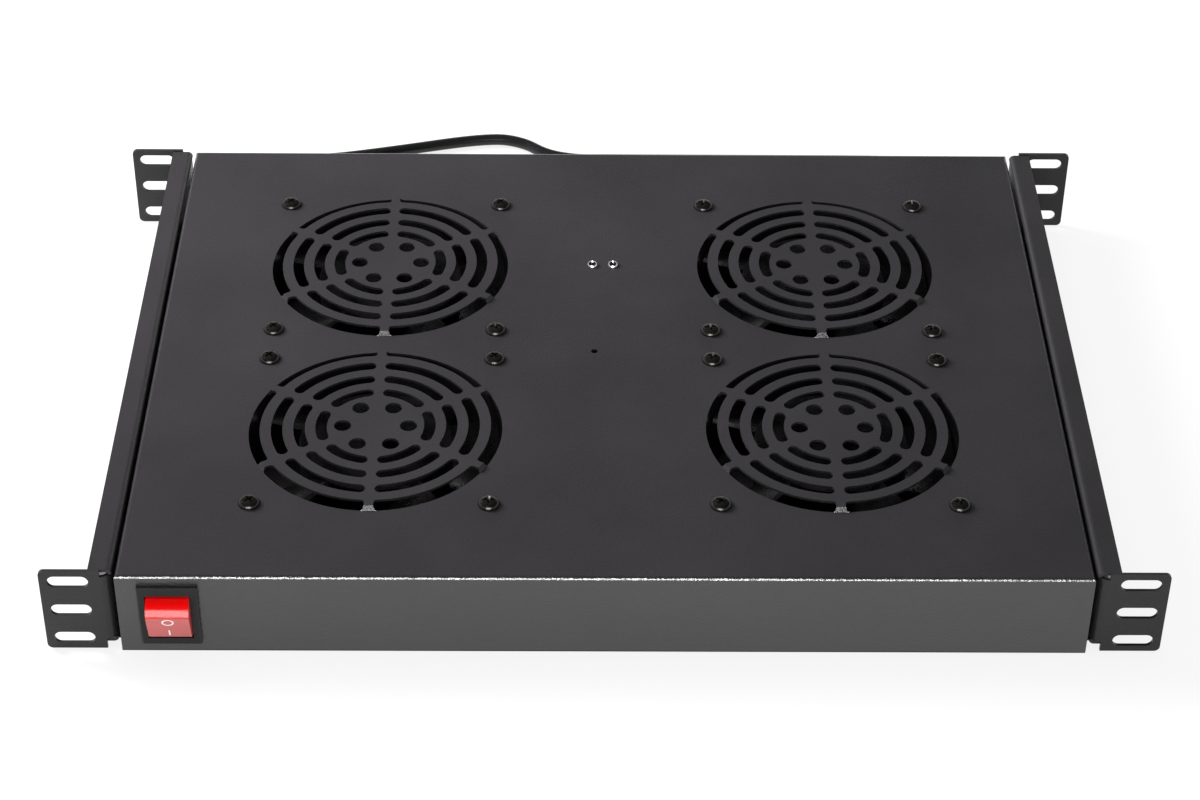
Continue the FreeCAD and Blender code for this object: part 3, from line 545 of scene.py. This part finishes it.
def mesh_from(bm: bmesh.types.BMesh, name: str) -> bpy.types.Mesh:
    """Turn a built mesh into mesh data, and let go of it.

    Args:
        bm: the built mesh.
        name: the data's name.

    Returns:
        The mesh data.
    """
    mesh = bpy.data.meshes.new(name)
    bm.to_mesh(mesh)
    bm.free()
    return mesh


def add_piece(name: str, mesh: bpy.types.Mesh, finish: Finish, body: str
              ) -> bpy.types.Object:
    """Put a mesh in the scene as a piece on a body.

    Args:
        name: the piece's name.
        mesh: its mesh, in the tray's frame.
        finish: what it is made of.
        body: the moving body that carries it.

    Returns:
        The new object.
    """
    piece = put(name, mesh)
    mesh.materials.clear()
    mesh.materials.append(finish.material())
    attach(piece, body)
    return piece


def on_circle(steps: int) -> list[Span]:
    """Cosine and sine of evenly spaced angles around a circle.

    Args:
        steps: how many angles.

    Returns:
        One pair for each angle.
    """
    angles = [2 * math.pi * i / steps for i in range(steps)]
    return [(math.cos(angle), math.sin(angle)) for angle in angles]


def lathe(bm: bmesh.types.BMesh, profile: list[Span], steps: int) -> None:
    """Turn a profile that starts and ends on the Z axis into a closed skin.

    Args:
        bm: the mesh that takes the skin.
        profile: (radius, height) points, from one end on the axis to the other.
        steps: facets around.
    """
    rings = []
    for radius, height in profile:
        around = on_circle(steps) if radius else [(0.0, 0.0)]
        rings.append([bm.verts.new((radius * x, radius * y, height)) for x, y in around])
    for low, high in zip(rings, rings[1:]):
        for i in range(steps):
            j = (i + 1) % steps
            corners = (low[i % len(low)], low[j % len(low)],
                       high[j % len(high)], high[i % len(high)])
            unique = list(dict.fromkeys(corners))
            if len(unique) > 2:
                bm.faces.new(unique)


def walls(bm: bmesh.types.BMesh, first: list[bmesh.types.BMVert], second: list[bmesh.types.BMVert]
          ) -> None:
    """Join two loops, with the same number of corners, by a band of faces.

    Args:
        bm: the mesh that takes the faces.
        first: corners of one loop.
        second: corners of the other, in step with the first.
    """
    for i in range(len(first)):
        j = (i + 1) % len(first)
        bm.faces.new((first[i], first[j], second[j], second[i]))


# ---------------------------------------------------------------- screws
@dataclass(frozen=True)
class CrossScrew:
    """A pan-head machine screw with a cross recess.

    Its thread stops plain_pitches short of the point. The recess narrows to recess_foot of its
    width at the bottom. The crown is in shares of the head's radius and height.
    """

    shank: float
    head: float
    head_height: float
    length: float
    recess: float
    wing: float
    recess_depth: float
    thread_pitch: float = 0.7 * MM
    thread_depth: float = 0.25 * MM
    plain_pitches: float = 1.5
    cutter_rise: float = 0.5 * MM
    recess_foot: float = 0.55
    facets: int = 28
    crown: tuple[Span, ...] = (
        (0.0, 1.0), (0.3, 0.985), (0.5, 0.93), (0.68, 0.83), (0.83, 0.67), (0.93, 0.47),
        (0.985, 0.25), (1.0, 0.1), (0.985, 0.0))

    def head_profile(self) -> list[Span]:
        """Profile of the domed head, from its crown down to its seat."""
        return [(self.head * out, self.head_height * up) for out, up in self.crown]

    def shank_profile(self) -> list[Span]:
        """Profile of the threaded shank, from the head down to its point."""
        pitch, root = self.thread_pitch, self.shank - self.thread_depth
        points = [(self.shank, 0.0), (self.shank, -pitch)]
        depth = -pitch
        while depth > -self.length + self.plain_pitches * pitch:
            points += [(root, depth - pitch / 2), (self.shank, depth - pitch)]
            depth -= pitch
        return [*points, (root, -self.length), (0.0, -self.length)]

    def cutter(self) -> bpy.types.Mesh:
        """A tapered cross, standing in the crown, that cuts the recess."""
        bm = bmesh.new()
        top, floor = self.head_height + self.cutter_rise, self.head_height - self.recess_depth
        for turn in (0.0, math.pi / 2):
            loops = []
            for z, reach in ((floor, self.recess_foot), (top, 1.0)):
                corners = [Vector((x * self.recess * reach, y * self.wing / 2, z))
                           for x, y in ((-1, -1), (1, -1), (1, 1), (-1, 1))]
                loops.append([bm.verts.new(Matrix.Rotation(turn, 3, "Z") @ corner)
                              for corner in corners])
            foot, rim = loops
            bm.faces.new(foot[::-1])
            bm.faces.new(rim)
            walls(bm, foot, rim)
        bmesh.ops.recalc_face_normals(bm, faces=bm.faces)
        return mesh_from(bm, "recess_cutter")

    def build(self) -> bpy.types.Mesh:
        """Return the screw's mesh: head up along +Z, with its seat at the origin."""
        bm = bmesh.new()
        lathe(bm, self.head_profile() + self.shank_profile(), self.facets)
        bmesh.ops.recalc_face_normals(bm, faces=bm.faces)
        screw = put("screw_solid", mesh_from(bm, "screw_solid"))
        tool = put("recess_tool", self.cutter())
        cut = screw.modifiers.new("recess", "BOOLEAN")
        cut.operation = "DIFFERENCE"
        cut.solver = "EXACT"
        cut.use_self = True
        cut.object = tool
        depsgraph = bpy.context.evaluated_depsgraph_get()
        mesh = bpy.data.meshes.new_from_object(screw.evaluated_get(depsgraph))
        bpy.data.objects.remove(screw)
        bpy.data.objects.remove(tool)
        return mesh


def planted(screw: bpy.types.Mesh, places: list[tuple[Point, Euler]], name: str,
            draws: random.Random, crisp_degrees: float = 38.0) -> bpy.types.Mesh:
    """Copy one screw to many places in one mesh, each driven to its own angle.

    Args:
        screw: the screw's mesh.
        places: seat of each head, and the turn that brings +Z to its own direction.
        name: the new mesh's name.
        draws: seeded source of the drive angles.
        crisp_degrees: edges sharper than this aren't shaded smooth.

    Returns:
        The mesh of all the screws.
    """
    bm = bmesh.new()
    for seat, turn in places:
        before = len(bm.verts)
        bm.from_mesh(screw)
        bm.verts.ensure_lookup_table()
        spin = Matrix.Rotation(draws.uniform(0.0, math.pi / 2), 4, "Z")
        matrix = Matrix.Translation(seat) @ turn.to_matrix().to_4x4() @ spin
        bmesh.ops.transform(bm, matrix=matrix, verts=bm.verts[before:])
    mesh = mesh_from(bm, name)
    mesh.shade_smooth()
    mesh.set_sharp_from_angle(angle=math.radians(crisp_degrees))
    return mesh


@dataclass
class Fasteners:
    """The screws that show on the deck and on the rails."""

    seed: int = 11
    deck_top: float = 42.0 * MM
    fan_centre_x: float = 103.4 * MM
    fan_centre_y: float = 63.9 * MM
    fan_square: float = 105.0 * MM
    block_y: float = 65.0 * MM
    block_half_pitch: float = 5.0 * MM
    rail_face: float = 211.8 * MM
    rail_screw_step: float = 120.0 * MM
    rail_screw_z: float = 22.0 * MM
    fan_screw: CrossScrew = CrossScrew(
        shank=2.0 * MM, head=4.9 * MM, head_height=2.9 * MM, length=10.4 * MM,
        recess=2.75 * MM, wing=1.0 * MM, recess_depth=1.9 * MM)
    block_screw: CrossScrew = CrossScrew(
        shank=1.5 * MM, head=2.6 * MM, head_height=1.9 * MM, length=16.6 * MM,
        recess=1.55 * MM, wing=0.6 * MM, recess_depth=1.3 * MM,
        thread_pitch=0.5 * MM, thread_depth=0.2 * MM)
    rail_screw: CrossScrew = CrossScrew(
        shank=2.0 * MM, head=4.9 * MM, head_height=2.9 * MM, length=6.6 * MM,
        recess=2.75 * MM, wing=1.0 * MM, recess_depth=1.9 * MM)

    def fan_places(self) -> list[tuple[Point, Euler]]:
        """Seats of the sixteen fan screws."""
        half = self.fan_square / 2
        return [((sx * self.fan_centre_x + ax * half, sy * self.fan_centre_y + ay * half,
                  self.deck_top), Euler())
                for sx in (-1, 1) for sy in (-1, 1) for ax in (-1, 1) for ay in (-1, 1)]

    def block_places(self) -> list[tuple[Point, Euler]]:
        """Seats of the two terminal block screws."""
        return [((side * self.block_half_pitch, self.block_y, self.deck_top), Euler())
                for side in (-1, 1)]

    def rail_places(self) -> list[tuple[Point, Euler]]:
        """Seats of the screws on both rails, heads outwards."""
        return [((side * self.rail_face, step * self.rail_screw_step, self.rail_screw_z),
                 Euler((0.0, side * math.pi / 2, 0.0)))
                for side in (-1, 1) for step in (-1, 0, 1)]

    def build(self) -> list[bpy.types.Object]:
        """Make every visible screw and hide its plain solid.

        Returns:
            The three new pieces.
        """
        draws = random.Random(self.seed)
        black, zinc = (Finish.BLACK_SCREW, "black_screw"), (Finish.ZINC, "zinc")
        jobs = (("deck_screws", self.fan_screw, self.fan_places(), *black, "fan_screws"),
                ("block_cross_screws", self.block_screw, self.block_places(), *zinc,
                 "block_screws"),
                ("rail_cross_screws", self.rail_screw, self.rail_places(), *black,
                 "rail_screws"))
        made = []
        for name, screw, places, finish, slot, node in jobs:
            mesh = planted(screw.build(), places, name, draws)
            piece = add_piece(name, mesh, finish, "tray")
            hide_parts(node)
            made.append(piece)
        return made


# ---------------------------------------------------------------- switch marks
@dataclass
class SwitchMarks:
    """The O and I on the rocker's face, as thin printed ink."""

    pivot: Point = (-186.8 * MM, -162.0 * MM, 21.0 * MM)
    face: float = 9.5 * MM
    tilt_degrees: float = 16.0
    ring_height: float = 4.0 * MM
    bar_height: float = -4.0 * MM
    ring_half_width: float = 2.3 * MM
    ring_half_height: float = 1.95 * MM
    stroke: float = 0.7 * MM
    bar_length: float = 4.0 * MM
    ink: float = 0.04 * MM
    facets: int = 48

    def ring(self, bm: bmesh.types.BMesh) -> None:
        """Add the O, an upright oval ring of ink.

        Args:
            bm: the mesh that takes it.
        """
        loops = []
        for depth in (0.0, self.ink):
            for grow in (self.stroke / 2, -self.stroke / 2):
                wide, high = self.ring_half_width + grow, self.ring_half_height + grow
                loops.append([bm.verts.new((wide * x, -self.face - depth,
                                            self.ring_height + high * z))
                              for x, z in on_circle(self.facets)])
        base_out, base_in, top_out, top_in = loops
        for first, second in ((top_out, top_in), (top_in, base_in),
                              (base_in, base_out), (base_out, top_out)):
            walls(bm, first, second)

    def bar(self, bm: bmesh.types.BMesh) -> None:
        """Add the I, one upright stroke with round ends.

        Args:
            bm: the mesh that takes it.
        """
        steps = self.facets // 4
        radius, straight = self.stroke / 2, (self.bar_length - self.stroke) / 2
        angles = [math.pi * i / steps for i in range(steps + 1)]
        outline = [(end * radius * math.cos(angle),
                    self.bar_height + end * (straight + radius * math.sin(angle)))
                   for end in (1, -1) for angle in angles]
        low, high = ([bm.verts.new((x, y, z)) for x, z in outline]
                     for y in (-self.face, -self.face - self.ink))
        bm.faces.new(low)
        bm.faces.new(high)
        walls(bm, low, high)

    def build(self) -> bpy.types.Object:
        """Make both marks on the rocker.

        Returns:
            The marks, as one piece.
        """
        bm = bmesh.new()
        self.ring(bm)
        self.bar(bm)
        bmesh.ops.recalc_face_normals(bm, faces=bm.faces)
        tilt = Matrix.Rotation(math.radians(self.tilt_degrees), 4, "X")
        bmesh.ops.transform(bm, matrix=Matrix.Translation(self.pivot) @ tilt, verts=bm.verts)
        mesh = mesh_from(bm, "switch_marks")
        return add_piece("switch_marks", mesh, Finish.MARK, "rocker")


# ---------------------------------------------------------------- power cord
@dataclass
class PowerCord:
    """The mains cord: a free stretch, its put-away length in a tied hank, and the tail.

    The hank has three turns. far_runs and near_runs are the levels of their far and near straight
    runs, counted from near. The second turn climbs from the lower layer to the upper one, from
    climb_share of the way along the left half of its near run.
    """

    diameter: float = 6.0 * MM
    length: float = 1.5
    route_mm: tuple[Point, ...] = (
        (-192.3, 177.0, 14.0), (-192.3, 191.5, 14.0), (-188.2, 200.3, 12.2),
        (-180.7, 206.6, 9.2), (-150.0, 215.0, 4.2), (-117.4, 224.0, 3.1), (-60.5, 239.6, 3.1),
        (-41.7, 235.3, 3.1), (-29.0, 222.9, 3.1), (-13.0, 217.5, 3.6))
    tail_mm: tuple[Point, ...] = (
        (-11.4, 172.5, 9.8), (-29.0, 183.0, 11.1), (-46.0, 183.0, 11.1))
    left_mm: float = -1.5
    right_mm: float = 153.5
    near_mm: float = 169.4
    far_runs_mm: Point = (48.0, 42.0, 38.6)
    near_runs_mm: Point = (0.0, 6.0, 0.4)
    layers_mm: Point = (3.8, 3.8, 9.8)
    climb_share: float = 0.25
    climb_start_mm: float = 0.2
    climb_turn_mm: float = 2.0
    turn_steps: int = 8
    order: int = 3
    steps_along: int = 8
    steps_around: int = 5

    def half_turn(self, x: float, y_span: Span, z_span: Span, side: int) -> list[Point]:
        """Control points of one end loop of the hank.

        Args:
            x: where the straight runs end.
            y_span: levels of the run that comes in and of the one that goes out.
            z_span: heights of the same two runs.
            side: 1 for the right end, -1 for the left.

        Returns:
            The points, in millimetres, the ends of both runs among them.
        """
        middle, radius = (y_span[0] + y_span[1]) / 2, (y_span[0] - y_span[1]) / 2
        wide = side * abs(radius) / math.cos(math.pi / self.turn_steps / 2) ** 0.5
        points = []
        for i in range(self.turn_steps + 1):
            share = i / self.turn_steps
            angle = math.pi * share
            points.append((x + wide * math.sin(angle), middle + radius * math.cos(angle),
                           z_span[0] + (z_span[1] - z_span[0]) * share))
        return points

    def hank(self) -> list[Point]:
        """Control points of the folded turns, in the order that the cord runs."""
        left, right = self.left_mm, self.right_mm
        middle = (left + right) / 2
        turns = [(self.near_mm + far, self.near_mm + near, z)
                 for far, near, z in zip(self.far_runs_mm, self.near_runs_mm, self.layers_mm)]
        points: list[Point] = [(left, turns[0][0], turns[0][2])]
        for (far, near, z), following in zip(turns, [*turns[1:], None]):
            points.append((middle, far, z))
            points += self.half_turn(right, (far, near), (z, z), 1)
            points.append((middle, near, z))
            if following is None:
                points.append((left, near, z))
                continue
            next_far, _, next_z = following
            start = z
            if next_z > z:
                points.append((left + self.climb_share * (middle - left), near,
                               z + self.climb_start_mm))
                start += self.climb_turn_mm
            points += self.half_turn(left, (near, next_far), (start, next_z), -1)
        return points

    def build(self) -> bpy.types.Object:
        """Returns:
            The cord.
        """
        points = [*self.route_mm, *self.hank(), *self.tail_mm]
        curve = bpy.data.curves.new("mains_cord", "CURVE")
        curve.dimensions = "3D"
        spline = curve.splines.new("NURBS")
        spline.points.add(len(points) - 1)
        for point, place in zip(spline.points, points):
            point.co = (*(MM * c for c in place), 1.0)
        spline.order_u = self.order
        spline.use_endpoint_u = True
        spline.resolution_u = self.steps_along
        curve.bevel_depth = self.diameter / 2
        curve.bevel_resolution = self.steps_around
        curve.use_fill_caps = True
        curve.materials.append(Finish.CORD.material())
        cord = put("mains_cord", curve)
        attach(cord, "tray")
        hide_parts("power_cord", "power_cord_hank", "power_cord_tail")
        return cord


# ---------------------------------------------------------------- the tray's own nodes
class Dressing:
    """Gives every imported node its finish."""

    finishes: dict[str, Finish] = {
        "tray_body": Finish.DECK, "rail_": Finish.RAIL, "fan_frame": Finish.CASTING,
        "fan_rotor": Finish.BLADE, "fan_stator": Finish.CORE, "fan_bearings": Finish.BEARING,
        "fan_shaft": Finish.BEARING, "fan_lead": Finish.LEAD, "switch_housing": Finish.SWITCH,
        "switch_rocker": Finish.RED, "terminal_block": Finish.WHITE,
        "terminal_sleeves": Finish.BRASS, "switch_cable": Finish.LEAD,
        "mains_cable": Finish.CORD, "earth_wire": Finish.EARTH, "strain_relief": Finish.PLUG,
        "power_plug": Finish.PLUG, "power_cord_tie": Finish.PLUG,
    }
    plated: tuple[str, ...] = (
        "fan_nuts", "switch_terminals", "terminal_clamp_screws", "block_nuts", "earth_stud",
        "earth_lug", "earth_nut", "power_plug_pins")

    def finish_of(self, node: str) -> Finish:
        """The finish of a node, by the longest name that fits it.

        Args:
            node: the node's name.

        Returns:
            Its finish, that of the black screws where no name fits.
        """
        if node in self.plated:
            return Finish.ZINC
        fits = [key for key in self.finishes if node.startswith(key)]
        return self.finishes[max(fits, key=len)] if fits else Finish.BLACK_SCREW

    def apply(self) -> None:
        """Put each finish on its node's material slots."""
        for name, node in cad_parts.items():
            material = self.finish_of(name).material()
            for place in node.material_slots:
                place.material = material


# ---------------------------------------------------------------- studio
@dataclass(frozen=True)
class Lamp:
    """A soft rectangular lamp: either seen in reflections, or lighting what it shines on."""

    name: str
    place: Point
    target: Point
    size: Span
    power: float
    mirrored: bool = False

    def hang(self) -> None:
        """Hang the lamp, facing its target."""
        data = bpy.data.lights.new(self.name, "AREA")
        data.shape = "RECTANGLE"
        data.size, data.size_y = self.size
        data.energy = self.power
        lamp = put(self.name, data)
        lamp.visible_glossy = self.mirrored
        lamp.visible_diffuse = not self.mirrored
        lamp.location = self.place
        aim = Vector(self.target) - Vector(self.place)
        lamp.rotation_euler = aim.to_track_quat("-Z", "Y").to_euler()


@dataclass(frozen=True)
class Patch:
    """Two like oblongs of floor, one on either side of the middle, or one across it."""

    inner: float
    outer: float
    front: float
    rear: float

    def holds(self, x: float, y: float) -> bool:
        """Tell whether a place lies in the patch.

        Args:
            x: distance to the right of the middle.
            y: distance to the rear.

        Returns:
            Whether it does.
        """
        return self.inner < abs(x) < self.outer and self.front < y < self.rear


@dataclass
class Studio:
    """Pale floor, soft lamps and the camera.

    The camera's lens and sensor are in millimetres, and its turns are in radians.
    The floor has painted shade under the tray, where little light reaches. Around it a painted
    shadow fades out: each fade goes from where the floor is painted dark to where it is bare.
    """

    camera_place: Point = (-14.0 * MM, -1075.1 * MM, 849.0 * MM)
    tilt: float = 0.66306
    roll: float = 0.011113
    yaw: float = 0.011828
    lens: float = 85.693
    sensor: float = 36.0
    view_depth: float = 50.0
    world_light: float = 0.5
    floor_half: float = 4.0
    floor_drop: float = 0.0004
    floor_glow: float = 0.85
    floor_shade: float = 0.86
    # Painted shade: the floor under the tray gets this dark tone and no glow, standing in for the
    # shade there.
    painted_shade_tone: float = 0.1
    painted_shade_patches: tuple[Patch, ...] = (
        Patch(0.0, 0.209, -0.165, 0.165), Patch(0.209, 0.2205, -0.157, 0.165))
    # Painted shadow: strips behind the tray and beside the rails fade from the dark tone to the
    # bare floor.
    painted_shadow_patches: tuple[Patch, ...] = (
        Patch(0.0, 0.2305, 0.165, 0.229), Patch(0.2205, 0.2305, -0.1215, 0.165))
    side_fade: Span = (0.2255, 0.2305)
    rear_fade: Span = (0.195, 0.229)
    front_fade: Span = (-0.1165, -0.1215)
    card_height: float = 1.9
    card_half: Span = (4.0, 3.9)
    card_shift: float = 1.1
    lamps: tuple[Lamp, ...] = (
        Lamp("low_softbox", (-0.2, -2.3, 0.88), (0.0, 0.0, 0.0), (1.7, 1.1), 110.0, True),
        Lamp("left_softbox", (-0.9, 0.45, 0.7), (-0.2, 0.0, 0.0), (0.6, 0.6), 40.0),
        Lamp("top_softbox", (-0.4, 0.1, 2.2), (0.0, 0.0, 0.0), (1.4, 1.4), 14.0),
    )

    def camera(self) -> None:
        """Make the camera at the viewing angle and use it."""
        turn = (Matrix.Rotation(self.roll, 3, "Y") @ Matrix.Rotation(self.tilt, 3, "X")
                @ Matrix.Rotation(self.yaw, 3, "Z"))
        back = turn.transposed()
        right, ahead, up = (back @ Vector(v) for v in ((1, 0, 0), (0, 1, 0), (0, 0, 1)))
        matrix = Matrix((right, up, -ahead)).transposed().to_4x4()
        matrix.translation = self.camera_place
        data = bpy.data.cameras.new("camera")
        data.lens = self.lens
        data.sensor_width = self.sensor
        data.clip_end = self.view_depth
        camera = put("camera", data)
        camera.matrix_world = matrix
        bpy.context.scene.camera = camera

    def bare_share(self, tree: Tree) -> Socket:
        """Make the share of the floor free of the painted shadow: none at the tray's foot, all
        further out.

        Args:
            tree: the nodes that it joins.

        Returns:
            The share, from 0 to 1.
        """
        place = tree.nodes.new("ShaderNodeNewGeometry").outputs["Position"]
        across = maths(tree, "ABSOLUTE", axis_of(tree, place, "X"))
        along = axis_of(tree, place, "Y")
        bare = None
        for value, (dark, clear) in ((across, self.side_fade), (along, self.rear_fade),
                                     (along, self.front_fade)):
            rising = clear > dark
            fade = ramp(tree, value, (float(not rising), float(rising)),
                        (min(dark, clear), max(dark, clear)), soft=True)
            bare = fade if bare is None else maths(tree, "MAXIMUM", bare, fade)
        return bare

    def floor_material(self, name: str, glow: float, shade: float,
                       with_painted_shadow: bool = False) -> bpy.types.Material:
        """A pale floor that the camera and reflections see as near white, clear from below.

        Args:
            name: the material's name.
            glow: share of what is seen of it that doesn't depend on the light.
            shade: how pale the floor itself is.
            with_painted_shadow: whether a painted shadow darkens it towards the tray.

        Returns:
            The material.
        """
        material = bpy.data.materials.new(name)
        material.use_nodes = True
        tree = material.node_tree
        tree.nodes.clear()
        plain = tree.nodes.new("ShaderNodeBsdfDiffuse")
        plain.inputs["Color"].default_value = (shade, shade, shade, 1.0)
        white = tree.nodes.new("ShaderNodeEmission")
        white.inputs["Color"].default_value = WHITE
        white.inputs["Strength"].default_value = 1.0
        share = maths(tree, "MULTIPLY", looked_at(tree), glow)
        if with_painted_shadow:
            # Painted shadow: the floor's tone and glow fade to dark towards the tray.
            bare = self.bare_share(tree)
            share = maths(tree, "MULTIPLY", share, bare)
            tree.links.new(ramp(tree, bare, (self.painted_shade_tone, shade)), plain.inputs["Color"])
        above = blend(tree, share, plain.outputs[0], white.outputs[0])
        below = tree.nodes.new("ShaderNodeNewGeometry").outputs["Backfacing"]
        clear = tree.nodes.new("ShaderNodeBsdfTransparent")
        output = tree.nodes.new("ShaderNodeOutputMaterial")
        tree.links.new(blend(tree, below, above, clear.outputs[0]), output.inputs["Surface"])
        return material

    def floor(self) -> None:
        """Lay the floor: a wide pale sheet, with painted shade under the tray and a painted
        shadow round it.
        """
        half = self.floor_half
        marks = (*self.painted_shade_patches, *self.painted_shadow_patches, Patch(0.0, half, -half, half))
        xs = sorted({side * x for mark in marks for x in (mark.inner, mark.outer)
                     for side in (-1, 1)})
        ys = sorted({y for mark in marks for y in (mark.front, mark.rear)})
        bm = bmesh.new()
        grid = [[bm.verts.new((x, y, -self.floor_drop)) for y in ys] for x in xs]
        for near, far in zip(grid, grid[1:]):
            for j in range(len(ys) - 1):
                face = bm.faces.new((near[j], far[j], far[j + 1], near[j + 1]))
                x, y, _ = face.calc_center_median()
                for index, patches in enumerate((self.painted_shade_patches, self.painted_shadow_patches), 1):
                    if any(patch.holds(x, y) for patch in patches):
                        face.material_index = index
        mesh = mesh_from(bm, "studio_floor")
        # Plain floor, painted shade under the tray, and a painted shadow fading out round it.
        for name, glow, shade, with_painted_shadow in (
                ("studio_floor", self.floor_glow, self.floor_shade, False),
                ("painted_shade_floor", 0.0, self.painted_shade_tone, False),
                ("painted_shadow_floor", self.floor_glow, self.floor_shade, True)):
            mesh.materials.append(self.floor_material(name, glow, shade, with_painted_shadow))
        floor = put("studio_floor", mesh)

    def world(self) -> None:
        """Light the object softly from all round, with a white background to look at."""
        world = bpy.data.worlds.new("studio")
        bpy.context.scene.world = world
        world.use_nodes = True
        tree = world.node_tree
        back = tree.nodes["Background"]
        back.inputs["Color"].default_value = WHITE
        strength = ramp(tree, looked_at(tree), (self.world_light, 1.0))
        tree.links.new(strength, back.inputs["Strength"])

    def ceiling(self) -> None:
        """Hang a black card overhead that only shows in reflections."""
        x, y = self.card_half
        mesh = bpy.data.meshes.new("black_card")
        corners = [(-x, -y, 0.0), (x, -y, 0.0), (x, y, 0.0), (-x, y, 0.0)]
        mesh.from_pydata(corners, [], [(0, 1, 2, 3)])
        material = bpy.data.materials.new("black_card")
        material.use_nodes = True
        surface = material.node_tree.nodes["Principled BSDF"]
        surface.inputs["Base Color"].default_value = BLACK
        surface.inputs["Specular IOR Level"].default_value = 0.0
        mesh.materials.append(material)
        card = put("black_card", mesh)
        card.location = (0.0, self.card_shift, self.card_height)
        card.visible_camera = card.visible_diffuse = card.visible_shadow = False
        card.visible_transmission = card.visible_volume_scatter = False

    def build(self) -> None:
        """Set up the camera, floor, card, world and lamps."""
        self.camera()
        self.floor()
        self.ceiling()
        self.world()
        for lamp in self.lamps:
            lamp.hang()
        bpy.context.scene.view_settings.view_transform = "Standard"


def main() -> None:
    """Build the tray's looks in order and note each piece."""
    logging.basicConfig(level=logging.INFO, format="%(message)s")
    Studio().build()
    cord = PowerCord().build()
    log.info("cord %s", cord.name)
    Dressing().apply()
    for piece in Fasteners().build():
        log.info("screws %s", piece.name)
    log.info("marks %s", SwitchMarks().build().name)


if __name__ == "__main__":
    main()
